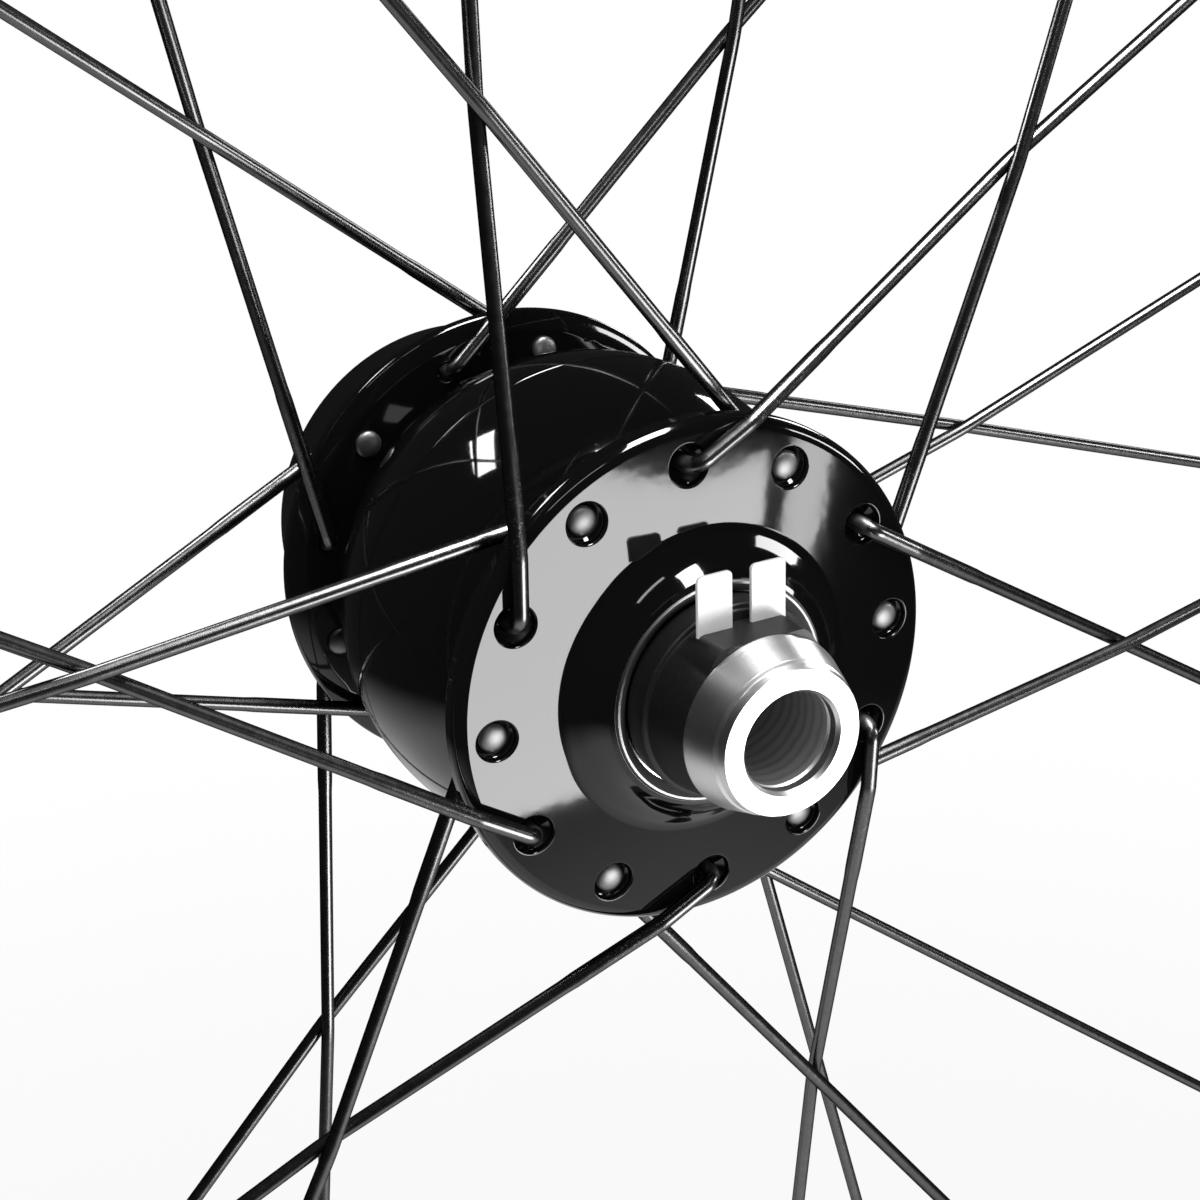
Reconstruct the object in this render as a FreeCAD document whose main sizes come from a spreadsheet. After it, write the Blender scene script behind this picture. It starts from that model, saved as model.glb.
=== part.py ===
import FreeCAD, Part
import math
import os

import Sketcher
from FreeCAD import Placement, Rotation, Vector

# Front bicycle wheel with a generator hub, in millimetres.
# The axle lies along Y through the wheel centre: -Y is the right side with the plug, +Y the brake side.
# +X is forwards and +Z is up. Angles round the axle start at +X and rise towards +Z.
# A station is a place along Y. In the turned outlines the first value is a radius, the second a station.

SIZES = {
    # Hub over all
    "hub_width": 100.0,
    "bore_radius": 6.05,
    "axle_radius": 8.5,
    "axle_seat_step": 0.5,
    "cap_wall": 1.6,
    "right_seat_length": 6.0,
    "left_seat_length": 10.0,
    # Spoke flanges
    "spoke_circle_radius": 27.0,
    "flange_margin": 5.0,
    "flange_thickness": 3.4,
    "flange_edge": 0.8,
    "right_face_inset": 14.0,
    "left_face_inset": 17.0,
    "flange_holes": 12,
    "right_hole_angle": 2.5,
    "left_hole_angle": 17.5,
    "spoke_hole_radius": 1.3,
    "head_seat_radius": 2.9,
    "head_seat_floor": 2.4,
    "head_seat_depth": 1.4,
    # Barrel of the shell
    "barrel_radius": 31.7,
    "barrel_foot_radius": 20.75,
    "barrel_middle": 2.5,
    "parting_offset": 0.5,
    "barrel_wall": 3.5,
    "joint_wall": 1.8,
    "joint_length": 2.5,
    "joint_clearance": 0.05,
    "cavity_step": 3.7,
    "right_cavity_run": 9.0,
    "left_cavity_mouth": 1.0,
    "left_cavity_run": 5.0,
    "left_cavity_rise": 4.0,
    "cut_overrun": 1.0,
    # Bearings
    "bearing_height": 4.5,
    "bearing_width": 5.0,
    "race_wall": 1.4,
    "ball_clearance": 0.05,
    "ball_set_width": 2.4,
    "seal_width": 0.5,
    "bearing_lip": 1.0,
    "bearing_lip_length": 1.5,
    # Right boss and its ring
    "boss_fillet": 4.4,
    "boss_rim": 0.7,
    "ring_recess": 0.9,
    "ring_width": 1.0,
    "ring_height": 1.1,
    # Brake side
    "rotor_face_inset": 10.5,
    "rotor_seat_radius": 27.0,
    "rotor_seat_thickness": 8.5,
    "rotor_neck_radius": 19.5,
    "rotor_neck_taper": 2.0,
    "rotor_chamfer": 0.6,
    "spigot_radius": 17.5,
    "spigot_length": 2.4,
    "rotor_bolts": 6,
    "rotor_bolt_circle": 22.0,
    "rotor_hole_radius": 2.1,
    "rotor_hole_depth": 8.0,
    "left_bearing_offset": 0.5,
    # End caps
    "cap_rim_radius": 9.1,
    "cap_rim_length": 0.8,
    "cap_nose_radius": 9.55,
    "cap_root_radius": 10.9,
    "dust_radius": 12.2,
    "dust_thickness": 1.1,
    "dust_gap": 0.5,
    "dust_rise": 0.5,
    # Plug on the axle
    "collar_clearance": 0.8,
    "collar_length": 3.4,
    "collar_gap": 0.5,
    "collar_bevel": 0.6,
    "collar_bevel_length": 0.2,
    "plug_seat_wall": 1.5,
    "plug_nose_radius": 10.6,
    "plug_block_half_width": 6.4,
    "plug_block_height": 10.6,
    "plug_block_length": 5.7,
    "plug_block_corner": 0.6,
    "terminal_width": 4.6,
    "terminal_gap": 2.5,
    "terminal_thickness": 0.5,
    "terminal_inset": 4.3,
    "terminal_top": 17.8,
    "terminal_foot": 9.0,
    "terminal_corner": 1.0,
    # Generator
    "rotor_half_length": 10.0,
    "yoke_share": 0.071,
    "magnet_share": 0.0815,
    "magnet_half_length": 9.0,
    "magnet_slit": 0.5,
    "air_gap": 0.4,
    "claw_half_length": 9.6,
    "claw_plate": 2.0,
    "claw_fingers": 13,
    "finger_share": 0.0675,
    "finger_root_width": 4.6,
    "finger_tip_width": 2.6,
    "finger_stop": 0.5,
    "core_share": 0.275,
    "bobbin_wall": 1.0,
    "bobbin_clearance": 0.4,
    "winding_inset": 0.6,
    "lead_radius": 0.5,
    "lead_spacing": 1.2,
    "lead_rise_gap": 2.0,
    "lead_clearance": 0.1,
    "lead_start": 3.0,
    # Spokes and nipples
    "spoke_radius": 0.9,
    "butt_radius": 1.0,
    "butt_length": 20.0,
    "butt_taper": 3.0,
    "elbow_cut": 1.0,
    "elbow_seat": 0.3,
    "spoke_lead_angle": 60.0,
    "crossing_clearance": 0.05,
    "head_radius": 2.0,
    "head_depth": 0.35,
    "head_crown": 0.8,
    "nipple_length": 8.0,
    "nipple_root": 3.4,
    "nipple_tip": 2.9,
    # Rim
    "bead_seat_radius": 311.0,
    "rim_wall_height": 6.0,
    "rim_depth": 20.0,
    "rim_half_width": 12.5,
    "rim_side_wall": 1.6,
    "rim_bed_drop": 2.8,
    "rim_flank_depth": 10.0,
    "rim_spoke_bed": 4.5,
    "rim_wall": 1.3,
    "rim_chamber_drop": 0.5,
    "nipple_seat": 2.0,
    "valve_angle": 85.0,
    "valve_hole_radius": 4.25,
}

doc = FreeCAD.newDocument("dynamo_front_wheel")
sheet = doc.addObject("Spreadsheet::Sheet", "Sizes")
parts = []


class Size:
    """A number together with the sheet formula that gives it, for sketches and features to follow."""

    def __init__(self, value, formula):
        self.value = float(value)
        self.formula = formula

    def __add__(self, other):
        other = size(other)
        return Size(self.value + other.value, f"({self.formula} + {other.formula})")

    def __sub__(self, other):
        other = size(other)
        return Size(self.value - other.value, f"({self.formula} - {other.formula})")

    def __mul__(self, other):
        other = size(other)
        return Size(self.value * other.value, f"({self.formula} * {other.formula})")

    def __truediv__(self, other):
        other = size(other)
        return Size(self.value / other.value, f"({self.formula} / {other.formula})")

    def __neg__(self):
        return Size(-self.value, f"(0 - {self.formula})")

    def root(self):
        return Size(math.sqrt(self.value), f"sqrt({self.formula})")


def size(given):
    """The given Size itself, or a plain number as one."""
    return given if isinstance(given, Size) else Size(given, f"({given!r})")


def sheet_size(alias):
    return Size(SIZES[alias], f"Sizes.{alias}")


def fill_sheet():
    for row, (alias, value) in enumerate(SIZES.items(), start=1):
        sheet.set(f"A{row}", alias)
        sheet.set(f"B{row}", str(value))
        sheet.setAlias(f"B{row}", alias)
    doc.recompute()


fill_sheet()
S = {alias: sheet_size(alias) for alias in SIZES}

# Places shared by several pieces

right_end = -(S["hub_width"] / 2)
left_end = S["hub_width"] / 2
right_shoulder = right_end + S["right_seat_length"]
left_shoulder = left_end - S["left_seat_length"]
axle_seat_radius = S["axle_radius"] - S["axle_seat_step"]

flange_radius = S["spoke_circle_radius"] + S["flange_margin"]
flange_flat = flange_radius - S["flange_edge"]
right_face = right_shoulder + S["right_face_inset"]
right_inner = right_face + S["flange_thickness"]
left_face = left_shoulder - S["left_face_inset"]
left_inner = left_face - S["flange_thickness"]

middle = -S["barrel_middle"]
parting = middle + S["parting_offset"]
rotor_outer = S["barrel_radius"] - S["barrel_wall"]
joint_radius = S["barrel_radius"] - S["joint_wall"]
joint_end = parting - S["joint_length"]
cavity_radius = rotor_outer - S["cavity_step"]
rotor_right = middle - S["rotor_half_length"]
rotor_left = middle + S["rotor_half_length"]
yoke_inner = rotor_outer - rotor_outer * S["yoke_share"]
magnet_inner = yoke_inner - rotor_outer * S["magnet_share"]
stator_radius = magnet_inner - S["air_gap"]
barrel_drop = S["barrel_radius"] - S["barrel_foot_radius"]
foot_distance = right_inner - middle
barrel_arc = (foot_distance * foot_distance + barrel_drop * barrel_drop) / (barrel_drop * 2)

bearing_radius = S["axle_radius"] + S["bearing_height"]
lip_radius = bearing_radius - S["bearing_lip"]
inner_race_radius = S["axle_radius"] + S["race_wall"]
outer_race_radius = bearing_radius - S["race_wall"]
recess_radius = bearing_radius + S["ring_recess"]
boss_end = right_face - S["boss_fillet"]
boss_mouth = recess_radius + S["boss_rim"]
right_bearing = boss_end + S["ring_recess"]
right_lip_end = right_bearing + S["bearing_width"] + S["bearing_lip_length"]
rotor_face = left_end - S["rotor_face_inset"]
left_bearing = rotor_face + S["left_bearing_offset"]

claw_right = middle - S["claw_half_length"]
claw_left = middle + S["claw_half_length"]
plate_right = claw_right + S["claw_plate"]
plate_left = claw_left - S["claw_plate"]
finger_inner = stator_radius - rotor_outer * S["finger_share"]
bobbin_radius = finger_inner - S["bobbin_clearance"]
core_radius = S["axle_radius"] + (bobbin_radius - S["axle_radius"]) * S["core_share"]
bobbin_tube = core_radius + S["bobbin_wall"]
winding_radius = bobbin_radius - S["winding_inset"]
winding_right = plate_right + S["bobbin_wall"]
winding_left = plate_left - S["bobbin_wall"]
lead_level = S["axle_radius"] - S["lead_radius"] - S["lead_clearance"]
lead_height = (bobbin_tube + winding_radius) / 2

terminal_front = right_shoulder + S["terminal_inset"]
terminal_side = S["terminal_gap"] / 2

rim_top = S["bead_seat_radius"] + S["rim_wall_height"]
spoke_bed = rim_top - S["rim_depth"]


def barrel_at(station):
    """Radius of the barrel's outside at a station: one arc whose top is at the barrel's middle."""
    from_middle = station - middle
    rise = (barrel_arc * barrel_arc - from_middle * from_middle).root()
    return S["barrel_radius"] - barrel_arc + rise


# Drawing and turning


class Arc:
    """Marks an outline edge as an arc: turn is 1 anticlockwise along the way, -1 clockwise."""

    def __init__(self, radius, turn):
        self.radius = size(radius)
        self.turn = turn


def arc_geometry(first, last, arc):
    """The arc of the given radius from one corner to the next, and which of its ends comes first."""
    start = Vector(first[0].value, first[1].value, 0)
    end = Vector(last[0].value, last[1].value, 0)
    chord = end - start
    rise = math.sqrt(arc.radius.value ** 2 - chord.Length ** 2 / 4)
    centre = (start + end) / 2 + Vector(-chord.y, chord.x, 0).normalize() * (rise * arc.turn)
    angles = [math.atan2(point.y - centre.y, point.x - centre.x) for point in (start, end)]
    if arc.turn < 0:
        angles.reverse()
    circle = Part.Circle(centre, Vector(0, 0, 1), arc.radius.value)
    return Part.ArcOfCircle(circle, angles[0], angles[1])


def pin(sketch, edge, end, corner):
    """Holds one end of an edge at its corner's two sizes, measured from the sketch's origin."""
    for kind, axis, place in (("DistanceX", -2, corner[0]), ("DistanceY", -1, corner[1])):
        if abs(place.value) < 1e-9:
            sketch.addConstraint(Sketcher.Constraint("PointOnObject", edge, end, axis))
            continue
        index = sketch.addConstraint(Sketcher.Constraint(kind, -1, 1, edge, end, place.value))
        sketch.setExpression(f"Constraints[{index}]", place.formula)


def draw_loop(sketch, steps):
    """A closed outline through the corners; an Arc between two corners bends that edge."""
    corners = [tuple(size(value) for value in step) for step in steps if not isinstance(step, Arc)]
    arcs = {}
    for place, step in enumerate(steps):
        if isinstance(step, Arc):
            arcs[place - 1 - len(arcs)] = step
    ends = []
    for place, corner in enumerate(corners):
        following = corners[(place + 1) % len(corners)]
        if place in arcs:
            edge = sketch.addGeometry(arc_geometry(corner, following, arcs[place]), False)
            index = sketch.addConstraint(Sketcher.Constraint("Radius", edge, arcs[place].radius.value))
            sketch.setExpression(f"Constraints[{index}]", arcs[place].radius.formula)
            ends.append((edge, 1, 2) if arcs[place].turn > 0 else (edge, 2, 1))
        else:
            line = Part.LineSegment(
                Vector(corner[0].value, corner[1].value, 0),
                Vector(following[0].value, following[1].value, 0),
            )
            ends.append((sketch.addGeometry(line, False), 1, 2))
    for place, (edge, start, finish) in enumerate(ends):
        next_edge, next_start, _ = ends[(place + 1) % len(ends)]
        sketch.addConstraint(Sketcher.Constraint("Coincident", edge, finish, next_edge, next_start))
        pin(sketch, edge, start, corners[place])


def new_body(name):
    body = doc.addObject("PartDesign::Body", name)
    body.Label = name
    parts.append(body)
    return body


def origin_part(body, role):
    return next(feature for feature in body.Origin.OriginFeatures if feature.Role == role)


def new_sketch(body, name, plane, offset=None):
    """An empty sketch on one of the body's own origin planes, moved along its normal by an offset."""
    sketch = body.newObject("Sketcher::SketchObject", name)
    sketch.AttachmentSupport = (origin_part(body, plane), [""])
    sketch.MapMode = "FlatFace"
    if offset is not None:
        sketch.AttachmentOffset = Placement(Vector(0, 0, offset.value), Rotation())
        sketch.setExpression("AttachmentOffset.Base.z", offset.formula)
    return sketch


def turned(name, *loops):
    """A body turned about the axle from outlines of radius and station."""
    body = new_body(name)
    sketch = new_sketch(body, name + "_outline", "XY_Plane")
    for loop in loops:
        draw_loop(sketch, loop)
    turn = body.newObject("PartDesign::Revolution", name + "_turned")
    turn.Profile = (sketch, [""])
    turn.ReferenceAxis = (sketch, ["V_Axis"])
    turn.Angle = 360
    body.Tip = turn
    return body


def ring(name, inner, outer, start, end):
    """A plain ring round the axle."""
    return turned(name, [(inner, start), (outer, start), (outer, end), (inner, end)])


def repeated(body, feature, name, count):
    """The feature repeated evenly round the axle."""
    pattern = body.newObject("PartDesign::PolarPattern", name)
    pattern.Originals = [feature]
    pattern.Axis = (origin_part(body, "Y_Axis"), [""])
    pattern.Angle = 360
    pattern.Occurrences = int(count.value)
    pattern.setExpression("Occurrences", count.formula)
    body.Tip = pattern
    return pattern


def drilled(body, name, circle_radius, count, steps):
    """Holes beside the axle: a half outline turned about a line at the circle's radius, repeated."""
    sketch = new_sketch(body, name + "_outline", "XY_Plane")
    stations = [size(station) for _, station in steps]
    low = min(stations, key=lambda station: station.value)
    high = max(stations, key=lambda station: station.value)
    line = Part.LineSegment(
        Vector(circle_radius.value, low.value, 0), Vector(circle_radius.value, high.value, 0)
    )
    axis = sketch.addGeometry(line, True)
    pin(sketch, axis, 1, (circle_radius, low))
    pin(sketch, axis, 2, (circle_radius, high))
    draw_loop(sketch, [(circle_radius + radius, station) for radius, station in steps])
    groove = body.newObject("PartDesign::Groove", name)
    groove.Profile = (sketch, [""])
    groove.ReferenceAxis = (sketch, ["Axis0"])
    groove.Angle = 360
    body.Tip = groove
    return repeated(body, groove, name + "_circle", count)


def turn_about_axle(body, angle):
    """Turns a body's placement about the axle, towards +Z from +X."""
    body.Placement = Placement(Vector(), Rotation(Vector(0, -1, 0), angle.value))
    body.setExpression("Placement.Rotation.Angle", angle.formula)


def box_loop(left, right, bottom, top):
    return [(left, bottom), (right, bottom), (right, top), (left, top)]


def cut(body, sketch, name, depth, reversed_way):
    pocket = body.newObject("PartDesign::Pocket", name)
    pocket.Profile = (sketch, [""])
    pocket.Length = depth.value
    pocket.setExpression("Length", depth.formula)
    pocket.Reversed = reversed_way
    body.Tip = pocket
    return pocket


# Hub shell


def spoke_holes(body, name, face, outward):
    """The spoke holes through a flange, each with a sunk seat for a head in the outward face."""
    rim = S["spoke_hole_radius"]
    beyond = face + S["cut_overrun"] * outward
    floor = face - S["head_seat_depth"] * outward
    back = face - (S["flange_thickness"] + S["cut_overrun"]) * outward
    steps = [
        (0, beyond),
        (S["head_seat_radius"], beyond),
        (S["head_seat_radius"], face),
        (S["head_seat_floor"], floor),
        (rim, floor),
        (rim, back),
        (0, back),
    ]
    drilled(body, name, S["spoke_circle_radius"], S["flange_holes"], steps)


def hub_shell_right():
    """Right half of the shell: socket of the joint, barrel, drilled flange, fillet, bearing boss."""
    body = turned("hub_shell_right", [
        (joint_radius, parting),
        (barrel_at(parting), parting),
        Arc(barrel_arc, -1),
        (barrel_at(right_inner), right_inner),
        (flange_flat, right_inner),
        (flange_radius, right_inner - S["flange_edge"]),
        (flange_radius, right_face + S["flange_edge"]),
        (flange_flat, right_face),
        (boss_mouth + S["boss_fillet"], right_face),
        Arc(S["boss_fillet"], 1),
        (boss_mouth, boss_end),
        (recess_radius, boss_end),
        (recess_radius, right_bearing),
        (bearing_radius, right_bearing),
        (bearing_radius, right_bearing + S["bearing_width"]),
        (lip_radius, right_bearing + S["bearing_width"]),
        (lip_radius, right_lip_end),
        (cavity_radius, right_lip_end + S["right_cavity_run"]),
        (cavity_radius, rotor_right),
        (rotor_outer, rotor_right),
        (rotor_outer, joint_end),
        (joint_radius, joint_end),
    ])
    spoke_holes(body, "right_spoke_holes", right_face, -1)
    turn_about_axle(body, S["right_hole_angle"])


def hub_shell_left():
    """Left half: spigot of the joint, barrel, drilled flange, neck, brake rotor seat, bearing seat."""
    seat_back = rotor_face - S["rotor_seat_thickness"]
    spigot_end = rotor_face + S["spigot_length"]
    spigot_side = joint_radius - S["joint_clearance"]
    joint_tip = joint_end + S["joint_clearance"] * 2
    cavity_mouth = left_face + S["left_cavity_mouth"]
    body = turned("hub_shell_left", [
        (rotor_outer, joint_tip),
        (spigot_side, joint_tip),
        (spigot_side, parting),
        (barrel_at(parting), parting),
        Arc(barrel_arc, 1),
        (barrel_at(left_inner), left_inner),
        (flange_flat, left_inner),
        (flange_radius, left_inner + S["flange_edge"]),
        (flange_radius, left_face - S["flange_edge"]),
        (flange_flat, left_face),
        (S["rotor_neck_radius"], left_face),
        (S["rotor_neck_radius"], seat_back - S["rotor_neck_taper"]),
        (S["rotor_seat_radius"], seat_back),
        (S["rotor_seat_radius"], rotor_face - S["rotor_chamfer"]),
        (S["rotor_seat_radius"] - S["rotor_chamfer"], rotor_face),
        (S["spigot_radius"], rotor_face),
        (S["spigot_radius"], spigot_end),
        (bearing_radius, spigot_end),
        (bearing_radius, left_bearing - S["bearing_width"]),
        (lip_radius, left_bearing - S["bearing_width"]),
        (lip_radius, cavity_mouth),
        (lip_radius + S["left_cavity_rise"], cavity_mouth - S["left_cavity_run"]),
        (cavity_radius, cavity_mouth - S["left_cavity_run"] * 2),
        (cavity_radius, rotor_left),
        (rotor_outer, rotor_left),
    ])
    spoke_holes(body, "left_spoke_holes", left_face, 1)
    hole = S["rotor_hole_radius"]
    floor = rotor_face - S["rotor_hole_depth"]
    mouth = rotor_face + S["cut_overrun"]
    steps = [(0, floor), (hole, floor), (hole, mouth), (0, mouth)]
    drilled(body, "rotor_bolt_holes", S["rotor_bolt_circle"], S["rotor_bolts"], steps)
    turn_about_axle(body, S["left_hole_angle"])


# Axle, caps and plug


def axle():
    """Hollow axle with a stepped seat at each end and a groove along its top for the lead wires."""
    seat = axle_seat_radius
    cap_floor = S["cap_wall"]
    body = turned("axle", [
        (S["bore_radius"], right_end + cap_floor),
        (seat, right_end + cap_floor),
        (seat, right_shoulder),
        (S["axle_radius"], right_shoulder),
        (S["axle_radius"], left_shoulder),
        (seat, left_shoulder),
        (seat, left_end - cap_floor),
        (S["bore_radius"], left_end - cap_floor),
    ])
    half_width = S["lead_spacing"] / 2 + S["lead_radius"] + S["lead_clearance"]
    floor = lead_level - S["lead_radius"] - S["lead_clearance"]
    sketch = new_sketch(body, "lead_groove_outline", "XY_Plane", floor)
    start = right_shoulder + S["lead_start"] - S["cut_overrun"]
    draw_loop(sketch, box_loop(-half_width, half_width, start, plate_right))
    cut(body, sketch, "lead_groove", S["axle_radius"], True)


def end_caps():
    """Turned caps pressed over the axle ends; the left one carries a dust lip over its bearing."""
    seat = axle_seat_radius
    rim = S["cap_rim_radius"]
    nose = S["cap_nose_radius"]
    root = S["cap_root_radius"]
    turned("right_end_cap", [
        (S["bore_radius"], right_end),
        (rim, right_end),
        (rim, right_end + S["cap_rim_length"]),
        (nose, right_end + S["cap_rim_length"]),
        (root, right_shoulder),
        (seat, right_shoulder),
        (seat, right_end + S["cap_wall"]),
        (S["bore_radius"], right_end + S["cap_wall"]),
    ])
    dust_start = rotor_face + S["spigot_length"] + S["dust_gap"]
    dust_end = dust_start + S["dust_thickness"]
    turned("left_end_cap", [
        (seat, left_shoulder),
        (inner_race_radius, left_shoulder),
        (inner_race_radius, dust_start),
        (S["dust_radius"], dust_start),
        (S["dust_radius"], dust_end),
        (root, dust_end + S["dust_rise"]),
        (nose, left_end - S["cap_rim_length"]),
        (rim, left_end - S["cap_rim_length"]),
        (rim, left_end),
        (S["bore_radius"], left_end),
        (S["bore_radius"], left_end - S["cap_wall"]),
        (seat, left_end - S["cap_wall"]),
    ])


def connector_body():
    """Moulded plug: a collar over the bearing, a tapering sleeve and a block with two terminal slots."""
    axle_side = S["axle_radius"]
    collar = bearing_radius - S["collar_clearance"]
    seat_side = axle_side + S["plug_seat_wall"]
    collar_start = right_bearing - S["collar_gap"]
    collar_end = collar_start - S["collar_length"]
    body = turned("connector_body", [
        (axle_side, right_bearing),
        (seat_side, right_bearing),
        (seat_side, collar_start),
        (collar, collar_start),
        (collar, collar_end),
        (collar - S["collar_bevel"], collar_end - S["collar_bevel_length"]),
        (S["plug_nose_radius"], right_shoulder),
        (axle_side, right_shoulder),
    ])
    half = S["plug_block_half_width"]
    top = S["plug_block_height"]
    corner = S["plug_block_corner"]
    sketch = new_sketch(body, "plug_block_outline", "XZ_Plane", -right_shoulder)
    chord = (axle_side * axle_side - half * half).root()
    draw_loop(sketch, [
        (-half, chord),
        Arc(axle_side, -1),
        (half, chord),
        (half, top - corner),
        (half - corner, top),
        (-half + corner, top),
        (-half, top - corner),
    ])
    block = body.newObject("PartDesign::Pad", "plug_block")
    block.Profile = (sketch, [""])
    block.Length = S["plug_block_length"].value
    block.setExpression("Length", S["plug_block_length"].formula)
    block.Reversed = True
    body.Tip = block
    for side, name in ((1, "front_slot"), (-1, "rear_slot")):
        slot = new_sketch(body, name + "_outline", "XZ_Plane", -terminal_front)
        sides = [terminal_side * side, (terminal_side + S["terminal_width"]) * side]
        if side < 0:
            sides.reverse()
        draw_loop(slot, box_loop(sides[0], sides[1], S["terminal_foot"], top + S["cut_overrun"]))
        cut(body, slot, name, S["terminal_thickness"], False)


def terminal(name, side):
    """Flat spade terminal standing in the plug block, its two top corners rounded."""
    body = new_body(name)
    sketch = new_sketch(body, name + "_outline", "XZ_Plane", -terminal_front)
    inner = terminal_side * side
    outer = (terminal_side + S["terminal_width"]) * side
    corner = S["terminal_corner"] * side
    top = S["terminal_top"]
    draw_loop(sketch, [
        (inner, S["terminal_foot"]),
        (outer, S["terminal_foot"]),
        (outer, top - S["terminal_corner"]),
        Arc(S["terminal_corner"], side),
        (outer - corner, top),
        (inner + corner, top),
        Arc(S["terminal_corner"], side),
        (inner, top - S["terminal_corner"]),
    ])
    blade = body.newObject("PartDesign::Pad", name + "_blade")
    blade.Profile = (sketch, [""])
    blade.Length = S["terminal_thickness"].value
    blade.setExpression("Length", S["terminal_thickness"].formula)
    blade.Reversed = True
    body.Tip = blade


# Bearings and rings


def bearing(side, outer_end, inward):
    """Cartridge bearing: inner race on the axle, outer race in the shell, ball set and a seal outside."""
    far_end = outer_end + S["bearing_width"] * inward
    gap = S["ball_clearance"]
    seal_end = outer_end + S["seal_width"] * inward
    ball_middle = outer_end + S["bearing_width"] * (0.5 * inward)
    half = S["ball_set_width"] / 2
    ring(f"inner_race_{side}", S["axle_radius"], inner_race_radius, outer_end, far_end)
    ring(f"outer_race_{side}", outer_race_radius, bearing_radius, outer_end, far_end)
    ball_inner = inner_race_radius + gap
    ball_outer = outer_race_radius - gap
    ring(f"ball_set_{side}", ball_inner, ball_outer, ball_middle - half, ball_middle + half)
    ring(f"bearing_seal_{side}", ball_inner, outer_race_radius, outer_end, seal_end)


def retaining_rings():
    """Rings that hold the bearings in: one in the boss's mouth, one in the bore of the brake side."""
    right_inside = recess_radius - S["ring_width"]
    right_outside = right_bearing - S["ring_height"]
    ring("retaining_ring_right", right_inside, recess_radius, right_bearing, right_outside)
    left_inside = bearing_radius - S["ring_height"]
    left_outside = left_bearing + S["ring_width"]
    ring("retaining_ring_left", left_inside, bearing_radius, left_bearing, left_outside)


# Generator


def lead_notch(body, name, face, depth):
    """Opening in a cheek, from its right face, through which the two lead wires reach the winding."""
    half = S["lead_spacing"] / 2 + S["lead_radius"] + S["lead_clearance"]
    reach = S["lead_radius"] + S["lead_clearance"]
    sketch = new_sketch(body, name + "_outline", "XZ_Plane", -face)
    draw_loop(sketch, box_loop(-half, half, lead_height - reach, lead_height + reach))
    cut(body, sketch, name, depth, False)


def claw_pole(name, outer_face, inner_face, inward):
    """Claw pole: a plate round the axle with tapered fingers bent over the winding."""
    body = turned(name, box_loop(S["axle_radius"], stator_radius, outer_face, inner_face))
    reach = (S["claw_half_length"] - S["claw_plate"]) * 2 - S["finger_stop"]
    tip = inner_face + reach * inward
    sections = []
    for part_name, station, width in (
        ("finger_root", inner_face, S["finger_root_width"]),
        ("finger_tip", tip, S["finger_tip_width"]),
    ):
        half = width / 2
        outside = (stator_radius * stator_radius - half * half).root()
        section = new_sketch(body, f"{name}_{part_name}", "XZ_Plane", -station)
        draw_loop(section, box_loop(finger_inner, outside, -half, half))
        sections.append(section)
    finger = body.newObject("PartDesign::AdditiveLoft", name + "_finger")
    finger.Profile = sections[0]
    finger.Sections = [sections[1]]
    finger.Ruled = True
    body.Tip = finger
    repeated(body, finger, name + "_fingers", S["claw_fingers"])
    return body


def stator():
    """Everything wound and pressed onto the axle inside the shell."""
    ring("stator_core", S["axle_radius"], core_radius, plate_right, plate_left)
    right_pole = claw_pole("claw_pole_right", claw_right, plate_right, 1)
    lead_notch(right_pole, "pole_lead_notch", claw_right, S["claw_plate"])
    left_pole = claw_pole("claw_pole_left", claw_left, plate_left, -1)
    turn_about_axle(left_pole, size(180) / S["claw_fingers"])
    bobbin = turned("coil_bobbin", [
        (core_radius, plate_right),
        (bobbin_radius, plate_right),
        (bobbin_radius, winding_right),
        (bobbin_tube, winding_right),
        (bobbin_tube, winding_left),
        (bobbin_radius, winding_left),
        (bobbin_radius, plate_left),
        (core_radius, plate_left),
    ])
    lead_notch(bobbin, "bobbin_lead_notch", plate_right, S["bobbin_wall"])
    ring("copper_winding", bobbin_tube, winding_radius, winding_right, winding_left)


def rotor():
    """Steel yoke ring in the shell and the ring of magnets that it carries, two for each claw."""
    ring("magnet_yoke", yoke_inner, rotor_outer, rotor_right, rotor_left)
    body = new_body("magnet_ring")
    body.AllowCompound = True
    right = middle - S["magnet_half_length"]
    sketch = new_sketch(body, "magnet_outline", "XZ_Plane", -right)
    pitch = size(180) / S["claw_fingers"]
    half_angle = math.radians(pitch.value / 2)
    chord_inner = magnet_inner * math.sin(half_angle) - S["magnet_slit"] / 2
    chord_outer = yoke_inner * math.sin(half_angle) - S["magnet_slit"] / 2
    inner_x = (magnet_inner * magnet_inner - chord_inner * chord_inner).root()
    outer_x = (yoke_inner * yoke_inner - chord_outer * chord_outer).root()
    draw_loop(sketch, [
        (inner_x, -chord_inner),
        (outer_x, -chord_outer),
        Arc(yoke_inner, 1),
        (outer_x, chord_outer),
        (inner_x, chord_inner),
        Arc(magnet_inner, -1),
    ])
    magnet = body.newObject("PartDesign::Pad", "magnet")
    magnet.Profile = (sketch, [""])
    length = S["magnet_half_length"] * 2
    magnet.Length = length.value
    magnet.setExpression("Length", length.formula)
    magnet.Reversed = True
    body.Tip = magnet
    repeated(body, magnet, "magnets", S["claw_fingers"] * 2)


def feature(name, shape, angle=0.0):
    """A piece whose shape is worked out here, turned about the axle by an angle in degrees."""
    piece = doc.addObject("Part::Feature", name)
    piece.Label = name
    piece.Shape = shape
    piece.Placement = Placement(Vector(), Rotation(Vector(0, -1, 0), angle))
    parts.append(piece)
    return piece


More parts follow.
